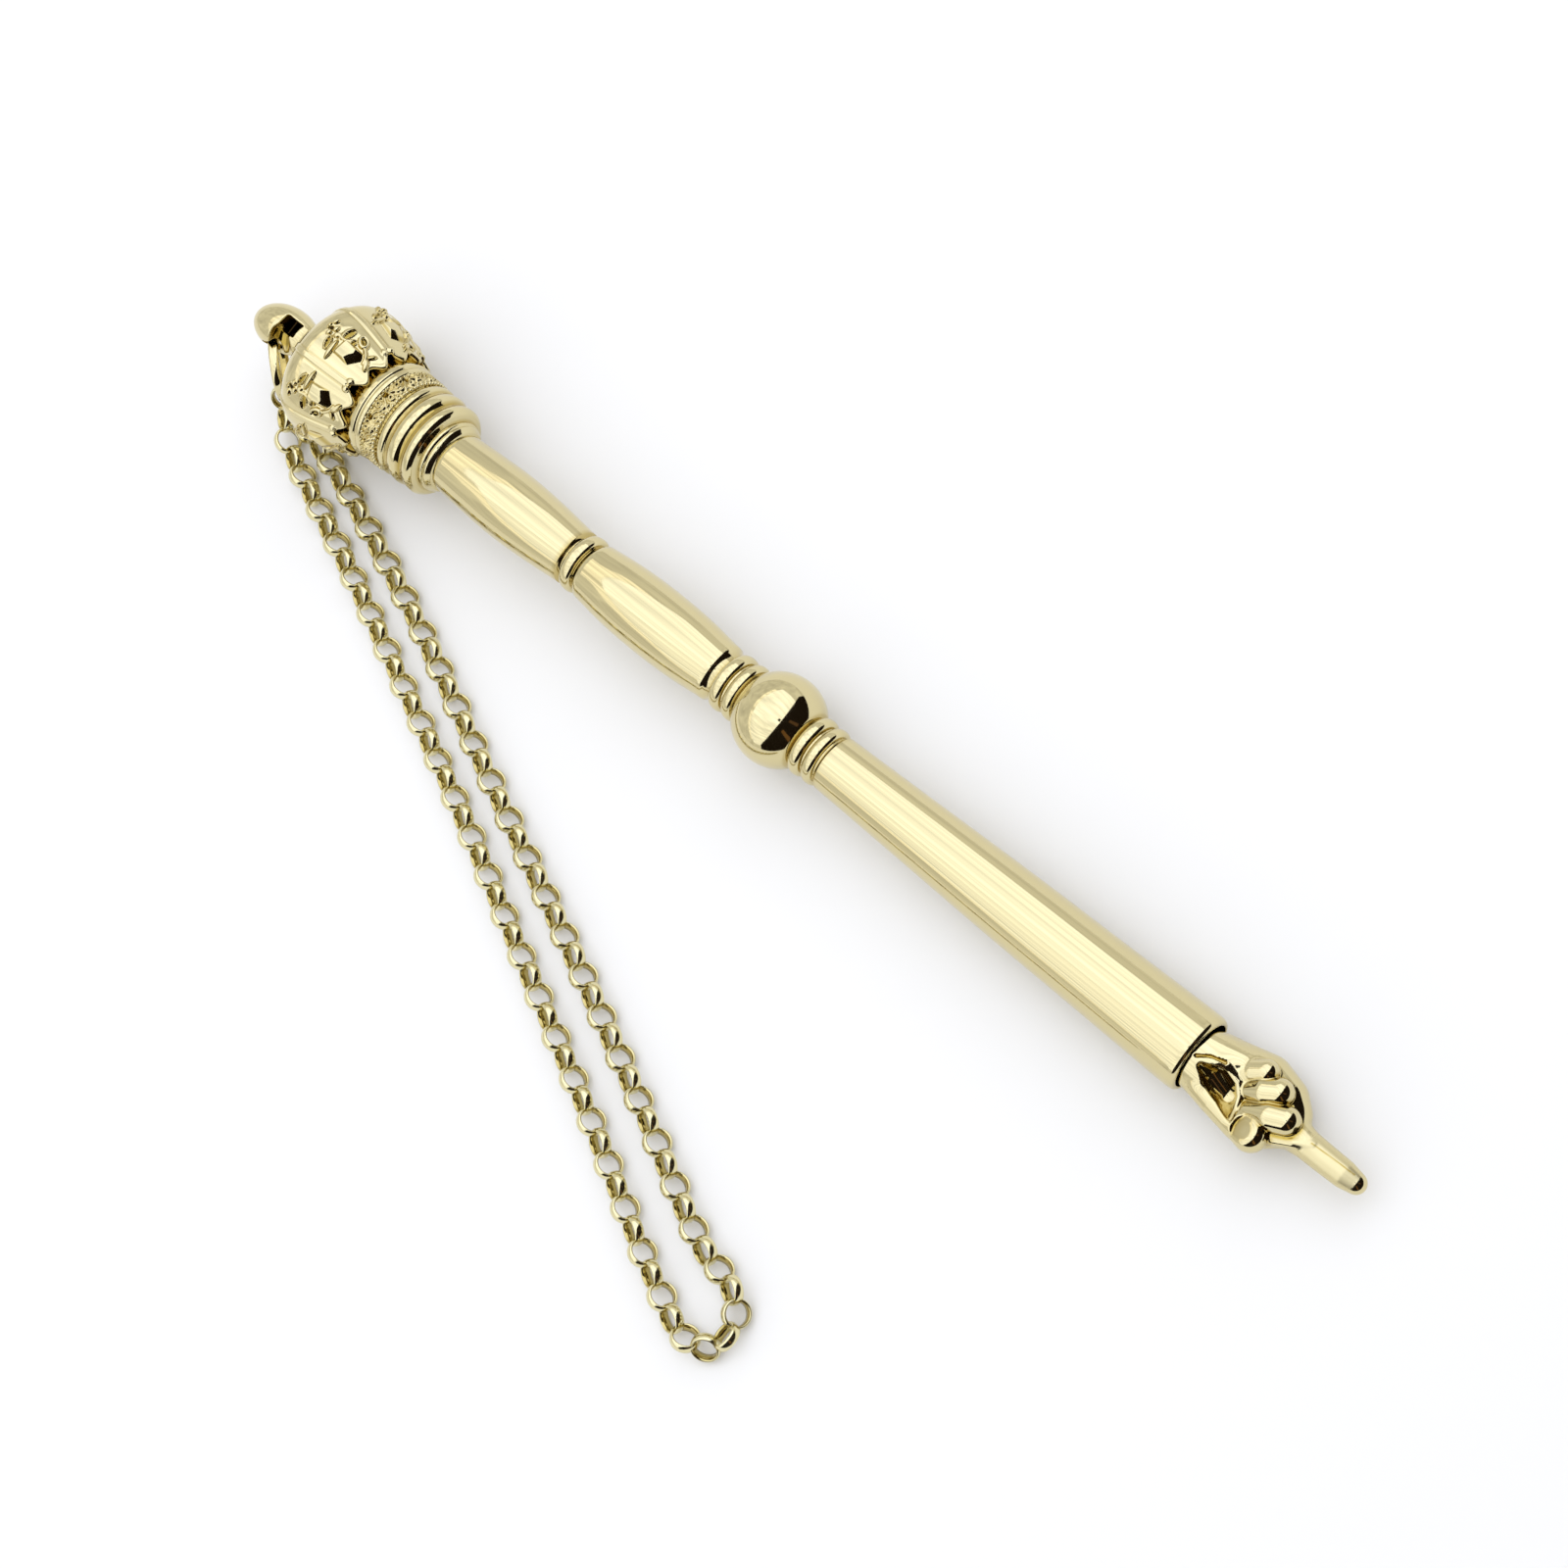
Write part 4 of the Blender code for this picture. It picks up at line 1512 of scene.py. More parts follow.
def surface_net(values: Array) -> tuple[Array, Array]:
    """Quads around every grid edge where the values change sign.

    Args:
        values: Distances on a regular grid.

    Returns:
        Corner places in grid units, and the quads, which face the positive side.
    """
    inside = values < 0
    shape = np.array(values.shape) - 1
    total, weight = np.zeros((*shape, 3)), np.zeros(shape)
    offsets = [np.array((i, j, k)) for i in (0, 1) for j in (0, 1) for k in (0, 1)]

    def window(offset: Array, array: Array) -> Array:
        """The part of an array that starts at an offset and is as long as the cells."""
        return array[tuple(slice(o, o + n) for o, n in zip(offset, shape))]

    for start in offsets:
        for axis in range(3):
            if start[axis]:
                continue
            end = start.copy()
            end[axis] = 1
            one, other = window(start, values), window(end, values)
            crossing = (one < 0) != (other < 0)
            share = np.where(crossing, one / np.where(crossing, one - other, 1.0), 0.0)
            for dimension in range(3):
                step = share if dimension == axis else 0.0
                total[..., dimension] += np.where(crossing, start[dimension] + step, 0.0)
            weight += crossing
    cells = np.argwhere(weight > 0)
    index = np.full(tuple(shape), -1)
    index[tuple(cells.T)] = np.arange(len(cells))
    corners = cells + total[tuple(cells.T)] / weight[tuple(cells.T)][:, None]

    quads = []
    for axis in range(3):
        one, other = (axis + 1) % 3, (axis + 2) % 3
        near = [slice(1, -1)] * 3
        far = [slice(1, -1)] * 3
        near[axis], far[axis] = slice(0, -1), slice(1, None)
        here, there = inside[tuple(near)], inside[tuple(far)]
        for leaving in (True, False):
            edges = np.argwhere((here & ~there) if leaving else (~here & there))
            edges[:, one] += 1
            edges[:, other] += 1
            around = []
            for back_one, back_other in ((0, 0), (1, 0), (1, 1), (0, 1)):
                cell = edges.copy()
                cell[:, one] -= back_one
                cell[:, other] -= back_other
                around.append(index[tuple(cell.T)])
            ring = np.stack(around if leaving else around[::-1], axis=-1)
            quads.append(ring)
    return corners, np.vstack(quads)


# ---------------------------------------------------------------- finial knob


@dataclass
class FinialKnob:
    """The pierced oval knob on top of the crown, and its neck.

    Attributes:
        centre: Middle of the oval.
        semi_axes: Half of its length, breadth and height.
        turn: How far its length is turned from X towards Y.
        neck_radius: Radius of the neck under it.
        hole_radius: Radius of the hole for the jump ring.
        window_centre: Middle of the squarish opening.
        window_size: Size of the opening.
        end: Station inside the crown where the casting ends.
    """

    centre: Triple = (-102.4, -0.3, 0.6)
    semi_axes: Triple = (5.5, 3.6, 3.8)
    turn: float = math.radians(12)
    neck_radius: float = 2.6
    hole_radius: float = 1.45
    window_centre: Triple = (-100.1, 0.5, 3.6)
    window_size: Triple = (2.7, 2.4, 5.0)
    end: float = -93.2

    def field(self, points: Array) -> Array:
        """Signed distance to the knob with its hole and window.

        Args:
            points: Points in the pointer's frame.

        Returns:
            One distance for each point.
        """
        knob = self.oval(points)
        neck = round_cone(points, (-98.5, 0.0, 0.0, self.neck_radius), (-94.2, 0.0, 0.0, 3.6))
        foot = round_cone(points, (-95.0, 0.0, 0.0, 3.4), (-93.6, 0.0, 0.0, 4.6))
        body = soft_union(soft_union(knob, neck, 0.9), foot, 0.6)
        body = soft_cut(body, self.window(points), 0.25)
        body = soft_cut(body, self.slot(points), 0.4)
        body = soft_cut(body, self.hole(points), 0.3)
        return np.maximum(body, points[..., 0] - self.end)

    def slot(self, points: Array) -> Array:
        """Signed distance to the hollow that runs from the window down beside the ring."""
        return round_cone(points, (-100.8, -1.0, 3.4, 1.3), (-99.9, -4.3, 2.0, 2.2))

    def shade(self, places: Array) -> Array:
        """Painted shade on the window's walls, and a painted warm reflection of gold in the hollow beside
        them.

        Args:
            places: Vertices in the pointer's frame.

        Returns:
            One painted shade value for each place.
        """
        depth = np.clip(-self.oval(places) - 0.35, 0, 1)
        window = 1.9 * depth * (self.window(places) < 0.2)
        return np.maximum(window, 1.1 * depth * (self.slot(places) < 0.2))

    def oval(self, points: Array) -> Array:
        """Signed distance to the oval body.

        Args:
            points: Points in the pointer's frame.

        Returns:
            One distance for each point.
        """
        cos, sin = math.cos(self.turn), math.sin(self.turn)
        local = points - np.array(self.centre)
        x, y, z = np.moveaxis(local, -1, 0)
        across = np.stack([x * cos + y * sin, y * cos - x * sin, z], axis=-1)
        axes = np.array(self.semi_axes)
        reach = np.linalg.norm(across / axes, axis=-1)
        slope = np.linalg.norm(across / axes**2, axis=-1)
        return reach * (reach - 1) / np.maximum(slope, 1e-6)

    def window(self, points: Array) -> Array:
        """Signed distance to the squarish opening."""
        local = np.abs(points - np.array(self.window_centre)) - np.array(self.window_size) / 2 + 0.2
        return np.linalg.norm(np.maximum(local, 0), axis=-1) + np.minimum(local.max(axis=-1), 0) - 0.2

    def hole(self, points: Array) -> Array:
        """Signed distance to the curved hole that the jump ring passes.

        Args:
            points: Points in the pointer's frame.

        Returns:
            One distance for each point.
        """
        ring = JumpRing()
        centre = np.array(POSE.bring(Vector(ring.centre)))
        axis = np.array(POSE.matrix.inverted().to_3x3() @ Vector(ring.normal).normalized())
        local = points - centre
        height = local @ axis
        flat = np.linalg.norm(local - height[..., None] * axis, axis=-1)
        return np.hypot(flat - ring.middle_radius, height) - self.hole_radius

    def build(self) -> bpy.types.Object:
        """Makes the knob's mesh object."""
        low, high = (-108.6, -5.4, -5.4), (-92.8, 5.6, 5.4)
        return FusedCasting("finial_knob", self.field, low, high, 0.13, self.shade).build()


# ---------------------------------------------------------------- jump ring


@dataclass(frozen=True)
class JumpRing:
    """The broad jump ring in the knob's hole.

    Attributes:
        centre: Middle, in the world.
        normal: Direction of its axis.
        outer_radius: Radius of its outside.
        width: Width of its band.
        thickness: Thickness of its band.
        steps: How many times the section is set round it.
    """

    centre: Triple = (-12.6, -5.0, 6.8)
    normal: Triple = (0.62, 0.70, -0.30)
    outer_radius: float = 5.6
    width: float = 1.5
    thickness: float = 0.75
    steps: int = 144

    @property
    def middle_radius(self) -> float:
        """Radius of the metal's middle."""
        return self.outer_radius - self.thickness / 2

    def section(self) -> Section:
        """Section of the band as (along the axis, radius): flat inside, domed outside.

        Returns:
            Corners of the section.
        """
        dome = domed_outside(self.width, self.outer_radius, 0.38, 0.7, 9)
        inner = self.outer_radius - self.thickness
        return [*dome, *((share * self.width, inner) for share in (-0.44, -0.15, 0.15, 0.44))]

    def build(self) -> bpy.types.Object:
        """Makes the ring's mesh object.

        Returns:
            The object.
        """
        section = self.section()
        points, faces = ring_of(section, self.steps)
        turn = np.array(Vector(self.normal).to_track_quat("Z", "X").to_matrix())
        points = points @ turn.T + np.array(self.centre)
        recess = np.zeros((self.steps, len(section)))
        # Painted shade and warm reflection on the flat inside of the band.
        recess[:, -4:] = 0.75
        return linked("jump_ring_band", smooth_mesh("jump_ring_band", points, faces, recess.ravel()))


# ---------------------------------------------------------------- shaft


@dataclass
class Shaft:
    """The turned stem: two balusters, beads, the ball, and the tapering sleeve with its socket.

    Attributes:
        columns: Grid columns round the shaft.
        start: Station of the end inside the crown's collar.
        ball_radius: Radius of the ball.
        sleeve_end: Station of the sleeve's rim.
        socket_radius: Radius of the socket in the sleeve's end.
        socket_depth: Depth of the socket.
    """

    columns: int = 128
    start: float = -65.7
    ball_radius: float = 6.72
    sleeve_end: float = 74.68
    socket_radius: float = 4.85
    socket_depth: float = 3.0

    def outline(self) -> Array:
        """Outline from the crown's collar to the socket's floor, as (station, radius).

        Returns:
            The outline's rows.
        """
        first = self.swelling([(-65.1, 4.68), (-59.4, 5.00), (-53.7, 5.18), (-47.6, 4.93), (-40.2, 4.28)])
        second = self.swelling([(-36.4, 4.38), (-30.6, 4.98), (-24.7, 5.18), (-18.0, 5.01), (-11.2, 4.34)])
        sleeve = self.swelling([(10.45, 4.15), (21.5, 4.46), (42.1, 5.07), (57.0, 5.34), (72.2, 5.65)])
        outline = [(self.start, 4.2), (-65.3, 4.6), *first, (-39.9, 3.75), (-39.75, 3.7)]
        outline += [*self.bead(-38.5, 1.1, 3.7, 4.48), (-37.3, 3.7), (-37.1, 3.75), *second]
        outline += [(-10.9, 4.1), (-10.35, 3.72), *self.bead(-8.75, 1.05, 3.7, 4.46), (-7.55, 3.66)]
        outline += [*self.bead(-6.4, 0.95, 3.7, 4.48), *self.ball(), *self.bead(6.45, 1.05, 3.7, 4.55)]
        outline += [(7.6, 3.66), *self.bead(8.75, 0.95, 3.68, 4.42), (9.9, 3.66), (10.15, 3.7), *sleeve]
        outline += [(73.5, 5.64), (74.1, 5.60), (74.42, 5.50), (74.62, 5.34), (74.72, 5.14), (74.74, 4.98)]
        outline += [(self.sleeve_end, self.socket_radius)]
        floor = self.sleeve_end - self.socket_depth
        outline += [(floor, self.socket_radius), (floor, 0.8)]
        return refined(np.array(outline), 0.9)

    @staticmethod
    def swelling(anchors: Section) -> list[tuple[float, float]]:
        """A long smooth stretch through its (station, radius) anchors."""
        return [tuple(point) for point in smooth_curve(np.array(anchors), 10)]

    @staticmethod
    def bead(centre: float, half_width: float, foot: float, crest: float) -> list[tuple[float, float]]:
        """A half-round ring with a small radius at its foot.

        Args:
            centre: Station of its middle.
            half_width: Half of its width.
            foot: Radius at its foot.
            crest: Radius at its crest.

        Returns:
            Points of the ring's profile.
        """
        turns = np.linspace(-math.pi / 2, math.pi / 2, 11)
        rise = crest - foot
        return [(centre + half_width * math.sin(t), foot + rise * math.cos(t) ** 0.8) for t in turns]

    def ball(self) -> list[tuple[float, float]]:
        """The ball's arc between the beads.

        Returns:
            Points of the arc.
        """
        limit = math.asin(5.05 / self.ball_radius)
        turns = np.linspace(-limit, limit, 49)
        return [(self.ball_radius * math.sin(t), self.ball_radius * math.cos(t)) for t in turns]

    def build(self) -> bpy.types.Object:
        """Makes the shaft's mesh object.

        Returns:
            The object.
        """
        outline = self.outline()
        angles = math.tau * np.arange(self.columns) / self.columns
        grid = turned_grid(outline, angles)
        first, last = np.array([outline[0, 0], 0.0, 0.0]), np.array([outline[-1, 0], 0.0, 0.0])
        points, faces = tube_with_caps(grid, first, last)
        # Painted shade in the grooves and the socket; both end caps are painted dark.
        shade = np.repeat(self.groove_shade(outline), self.columns)
        shade = np.concatenate([shade, [1.0, 1.0]])
        piece = lying_piece("turned_shaft", points, faces, shade)
        piece.data.set_sharp_from_angle(angle=math.radians(50))
        return piece

    def groove_shade(self, outline: Array) -> Array:
        """Painted shade of each row: darker in the grooves between beads, and dark inside the socket.

        Args:
            outline: Outline as rows of (station, radius).

        Returns:
            One painted shade value for each row.
        """
        station, radius = outline[:, 0], outline[:, 1]
        grooves = [-40.0, -37.05, -10.0, -7.2, -5.15, 5.3, 7.95, 10.1]
        nearest = np.min([np.abs(station - groove) for groove in grooves], axis=0)
        half_width, deepest = 0.45, 0.9
        shade = np.clip(1 - nearest / half_width, 0, 1) * deepest
        inner = (station > self.sleeve_end - self.socket_depth - 0.1) & (radius <= self.socket_radius)
        return np.where(inner, 1.0, shade)


# ---------------------------------------------------------------- hand


@dataclass
class Hand:
    """A right hand, palm up, its index finger stretched out and the others curled into the palm.

    Attributes:
        voxel: Size of the grid that its surface is found on.
        start: Station of the wrist's end inside the socket.
        frosted: Stations between which the index finger is frosted.
    """

    voxel: float = 0.14
    start: float = 72.3
    frosted: tuple[float, float] = (90.5, 100.4)

    def palm(self) -> list[Limb]:
        """Wrist, palm, knuckle side and index finger, in the order in which they are fused.

        Returns:
            The limbs.
        """
        knuckles = [(77.5, 1.0, -0.7, 3.8), (83.0, 2.8, -1.2, 3.5)]
        knuckles += [(86.2, 2.3, -1.2, 3.2), (88.6, 1.1, -0.9, 2.6)]
        index_finger = [
            (91.0, -0.3, 0.0, 2.0),
            (95.0, -0.35, 0.0, 1.92),
            (98.0, -0.34, 0.0, 1.84),
            (100.15, -0.30, 0.0, 1.42),
        ]
        return [
            Limb([(70.0, -0.15, 0.0, 4.2), (74.6, -0.15, 0.0, 4.2), (76.6, -0.15, -0.15, 4.3)], 0.1),
            Limb([(77.0, 0.0, -0.9, 3.9), (82.0, 0.0, -1.3, 3.5), (88.0, 0.2, -1.3, 2.9)], 1.0),
            Limb(knuckles, 1.0),
            Limb([(79.0, -2.2, -1.5, 2.5), (85.5, -3.2, -0.8, 2.5), (88.6, -0.6, -0.5, 2.4)], 0.9),
            Limb([(88.0, 0.0, -0.5, 2.6), (91.2, -0.25, -0.1, 2.05)], 0.9),
            Limb(index_finger, 0.5),
            Limb([(75.4, 1.5, 1.2, 2.4), (79.8, 2.5, 0.9, 2.0)], 0.6),
        ]

    def digits(self) -> list[Limb]:
        """Thumb, curled fingers and the ridge to the index finger.

        Returns:
            The limbs.
        """
        return [
            Limb([(75.6, -2.5, 0.6, 2.0), (80.0, -3.35, 1.0, 1.9), (83.8, -3.95, 1.1, 1.85)], 0.5),
            Limb([(83.6, -3.7, 0.9, 2.0), (86.2, -3.7, 1.45, 2.4)], 0.25),
            Limb([(88.6, -2.4, 0.9, 0.9), (91.0, -1.2, 1.35, 0.8), (93.2, 0.1, 1.45, 0.5)], 0.3),
            Limb([(80.0, 1.6, 0.9, 1.45), (81.7, 2.7, 1.7, 1.6), (83.1, 3.6, 2.2, 1.65)], 0.25),
            Limb([(82.6, 0.4, 1.0, 1.6), (84.5, 1.6, 2.0, 1.95), (86.1, 2.6, 2.35, 1.9)], 0.2),
            Limb([(84.2, -1.7, 1.1, 1.6), (86.9, -0.5, 2.2, 1.95), (88.9, 0.4, 2.4, 1.9)], 0.2),
        ]

    def folds(self) -> Limb:
        """The thin fold along the palm's hollow.

        Returns:
            The fold.
        """
        return Limb(
            [
                (75.8, -0.4, 3.5, 0.45),
                (77.4, 0.3, 3.1, 0.5),
                (79.3, 0.9, 2.6, 0.5),
                (81.1, 0.4, 2.2, 0.5),
                (82.3, -0.9, 2.0, 0.45),
                (82.9, -2.4, 2.0, 0.4),
                (83.3, -3.8, 2.3, 0.35),
            ],
            0.25,
        )

    def cuts(self) -> list[Limb]:
        """The almond-shaped hollow of the palm and the crease beside the wrist.

        Returns:
            The limbs that are cut away.
        """
        hollow = [(76.5, -0.95, 4.1, 0.5), (79.0, -1.1, 3.2, 1.7)]
        hollow += [(81.0, -1.7, 2.2, 1.7), (83.5, -4.0, 3.2, 0.3)]
        crease = [(75.2, -0.3, 4.0, 0.22), (76.8, 0.8, 3.8, 0.25), (78.6, 1.3, 3.4, 0.2)]
        return [Limb(hollow, 0.3), Limb(crease, 0.15)]

    def field(self, points: Array) -> Array:
        """Signed distance to the whole hand.

        Args:
            points: Points in the pointer's frame.

        Returns:
            One distance for each point.
        """
        masses = self.palm() + self.digits()
        body = masses[0].distance(points)
        for limb in masses[1:]:
            body = soft_union(body, limb.distance(points), limb.blend)
        for cut in self.cuts():
            body = soft_cut(body, cut.distance(points), cut.blend)
        folds = self.folds()
        body = soft_union(body, folds.distance(points), folds.blend)
        body = soft_cut(body, self.thumb_facet(points), 0.35)
        return np.maximum(body, self.start - points[..., 0])

    @staticmethod
    def thumb_facet(points: Array) -> Array:
        """What is taken off the thumb's tip to leave its flat pad.

        Args:
            points: Points in the pointer's frame.

        Returns:
            One distance for each point.
        """
        offset = points - np.array((86.0, -3.8, 3.3))
        normal = np.array((-0.36, -0.08, 0.93))
        below = -(offset @ (normal / np.linalg.norm(normal)))
        return np.maximum(below, np.linalg.norm(offset, axis=-1) - 2.1)

    def build(self) -> bpy.types.Object:
        """Makes the hand's mesh object, frosted on the index finger and with the fine seam along its top.

        Returns:
            The object.
        """
        low, high = (71.9, -7.0, -6.0), (102.2, 7.4, 6.4)
        casting = FusedCasting("pointing_hand", self.field, low, high, self.voxel, self.seam)
        piece = casting.build()
        places = casting.places
        station = places[:, 0]
        first, last = self.frosted
        along = np.clip((station - first) / 2.5, 0, 1) * np.clip((last - station) / 0.5, 0, 1)
        upwards = np.clip((places[:, 2] + 0.5) / 1.5, 0, 1)
        mark_points(piece.data, "frost", along * upwards)
        return piece

    def seam(self, places: Array) -> Array:
        """Darkness of the casting's seam along the index finger.

        Args:
            places: Vertices in the pointer's frame.

        Returns:
            One depth for each place.
        """
        path = np.array([(93.0, 0.15), (96.0, 0.30), (99.4, 0.42)])
        away = distance_to_path(places[:, 0], places[:, 1], path)
        return np.where(places[:, 2] > 0, np.clip(1.3 - away / 0.10, 0, 1), 0)


# ---------------------------------------------------------------- chain


@dataclass
class BelcherChain:
    """The loop of round links lying beside the pointer.

    Attributes:
        count: Number of links.
        band_width: Width of a link's band.
        thickness: Thickness of the band.
        roll: How far a link leans from upright, to one side and to the other in turn.
        roll_jitter: How much the lean varies.
        settle: Share of its free height at which a link lies.
        steps: How many times the section is set round a link.
        route: Points that the closed loop passes, with how far its links are lifted from the table.
    """

    count: int = 99
    band_width: float = 1.45
    thickness: float = 0.50
    roll: float = 45.0
    roll_jitter: float = 4.0
    settle: float = 0.93
    steps: int = 28
    route: Sequence[Triple] = (
        (-9.8, -8.4, 2.6),
        (-8.2, -10.8, 1.4),
        (-6.2, -13.2, 0.3),
        (-2.9, -14.9, 0.0),
        (5.8, -18.2, 0.0),
        (17.7, -22.6, 0.0),
        (30.2, -27.6, 0.0),
        (54.7, -37.5, 0.0),
        (78.9, -48.1, 0.0),
        (103.0, -58.7, 0.0),
        (118.4, -66.0, 0.0),
        (126.0, -69.3, 0.0),
        (132.3, -71.6, 0.0),
        (136.4, -70.6, 0.0),
        (137.6, -67.0, 0.0),
        (135.6, -63.5, 0.0),
        (131.4, -62.0, 0.0),
        (125.0, -60.4, 0.0),
        (107.0, -52.4, 0.0),
        (82.8, -42.3, 0.0),
        (57.8, -32.4, 0.0),
        (34.1, -22.7, 0.0),
        (16.1, -16.2, 0.0),
        (7.1, -13.2, 0.0),
        (0.6, -11.4, 0.0),
        (-3.9, -10.1, 0.7),
        (-7.1, -8.7, 1.9),
    )

    def path(self) -> Array:
        """Closed path of the links' middles, evenly walked.

        Returns:
            One point for each link.
        """
        points = smooth_curve(np.array(self.route), 40, closed=True)
        points[:, 2] = np.maximum(points[:, 2], 0.0)
        points = np.vstack([points, points[:1]])
        lengths = np.concatenate([[0.0], np.cumsum(np.linalg.norm(np.diff(points, axis=0), axis=1))])
        wanted = lengths[-1] * np.arange(self.count) / self.count
        return np.stack([np.interp(wanted, lengths, points[:, axis]) for axis in range(3)], axis=-1)

    def link_mesh(self, pitch: float) -> bpy.types.Mesh:
        """One link about local Z, its band flat inside and domed outside.

        Args:
            pitch: Distance between two links' middles.

        Returns:
            The mesh.
        """
        inner = pitch / 2
        dome = domed_outside(self.band_width, inner + self.thickness, 0.30, 0.8, 7)
        side, foot = 0.42 * self.band_width, inner + 0.02
        section = [*dome, (-side, foot), (0.0, inner), (side, foot)]
        points, faces = ring_of(section, self.steps)
        # Painted shade on the flat inside of the band.
        shade = [0.0] * len(dome) + [0.8, 0.9, 0.8]
        return smooth_mesh("belcher link", points, faces, np.tile(shade, self.steps))

    def build(self, material: bpy.types.Material) -> bpy.types.Object:
        """Lays the links with Geometry Nodes and keeps the result as one plain mesh.

        Args:
            material: Finish of the copies.

        Returns:
            The whole chain as one object.
        """
        centres = self.path()
        ahead, behind = np.roll(centres, -1, axis=0), np.roll(centres, 1, axis=0)
        pitch = float(np.linalg.norm(ahead - centres, axis=1).mean())
        generator = np.random.default_rng(3)
        turns = []
        reach = pitch / 2 + self.thickness
        for index, (before, after) in enumerate(zip(behind, ahead)):
            along = Vector(after - before).normalized()
            sign = -1 if index % 2 == 0 else 1
            roll = math.radians(sign * self.roll + generator.uniform(-self.roll_jitter, self.roll_jitter))
            upright = (Vector((0, 0, 1)) - along * along.z).normalized()
            normal = Matrix.Rotation(roll, 3, along) @ upright
            turn = Matrix((along, normal.cross(along), normal)).transposed()
            lowest = reach * math.sqrt(max(0.0, 1 - normal.z**2)) + self.band_width / 2 * abs(normal.z)
            centres[index, 2] += self.settle * lowest
            turns.append(tuple(turn.to_euler()))
        sizes = np.ones((self.count, 3))
        log.info("chain: %d links at a pitch of %.3f mm", self.count, pitch)
        return lay_copies("belcher_chain", self.link_mesh(pitch), centres, turns, sizes, material)


# ---------------------------------------------------------------- studio


@dataclass(frozen=True)
class Panel:
    """A glowing or dark rectangle of the light tent.

    Attributes:
        name: Name of the panel.
        place: Middle, in millimetres.
        size: Size in millimetres: along X and Y where it hangs, along Y and Z where it stands.
        radiance: How bright it looks, per colour.
        hangs: Whether it hangs flat and faces down; otherwise it stands and faces -X.
        folds: How much the cloth's folds change its brightness.
        lights_table: Whether it also lights what isn't metal.
        drape: How closely the folds follow each other along X, Y and Z.
    """

    name: str
    place: Triple
    size: tuple[float, float]
    radiance: Colour
    hangs: bool = False
    folds: float = 0.0
    lights_table: bool = False
    drape: Triple = (0.5, 3.2, 1.0)

    def build(self) -> None:
        """Adds the panel to the stage."""
        wide, high = self.size[0] / 2 * MM, self.size[1] / 2 * MM
        mesh = bpy.data.meshes.new(self.name)
        if self.hangs:
            corners = [(-wide, -high, 0), (-wide, high, 0), (wide, high, 0), (wide, -high, 0)]
        else:
            corners = [(0, -wide, -high), (0, -wide, high), (0, wide, high), (0, wide, -high)]
        mesh.from_pydata(corners, [], [(0, 1, 2, 3)])
        card = linked(self.name, mesh)
        card.location = Vector(self.place) * MM
        mesh.materials.append(self.glow())
        card.visible_diffuse = self.lights_table
        card.visible_shadow = False
        card.visible_camera = False
        card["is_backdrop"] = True

    def glow(self) -> bpy.types.Material:
        """Material that glows with the panel's radiance.

        Returns:
            The material.
        """
        paint, tree, shader = new_paint(self.name)
        set_sockets(shader, Base_Color=(0.0, 0.0, 0.0, 1.0), Specular_IOR_Level=0.0)
        set_sockets(shader, Emission_Color=(*self.radiance, 1.0), Emission_Strength=1.0)
        if self.folds:
            where = tree.nodes.new("ShaderNodeTexCoord")
            drape = add_node(tree, "ShaderNodeMapping", Scale=self.drape)
            tree.links.new(where.outputs["Object"], drape.inputs["Vector"])
            cloth = add_noise(tree, drape.outputs["Vector"], Scale=3.2, Detail=2.0, Distortion=0.4)
            low, high = 1.0 - self.folds, 1.0 + self.folds
            glow = add_range(tree, cloth, From_Min=0.3, From_Max=0.7, To_Min=low, To_Max=high)
            tree.links.new(glow, shader.inputs["Emission Strength"])
        return paint


@dataclass(frozen=True)
class Cloth(Panel):
    """A bright cloth that hangs over the table, lights it and shows its folds."""

    hangs: bool = True
    lights_table: bool = True


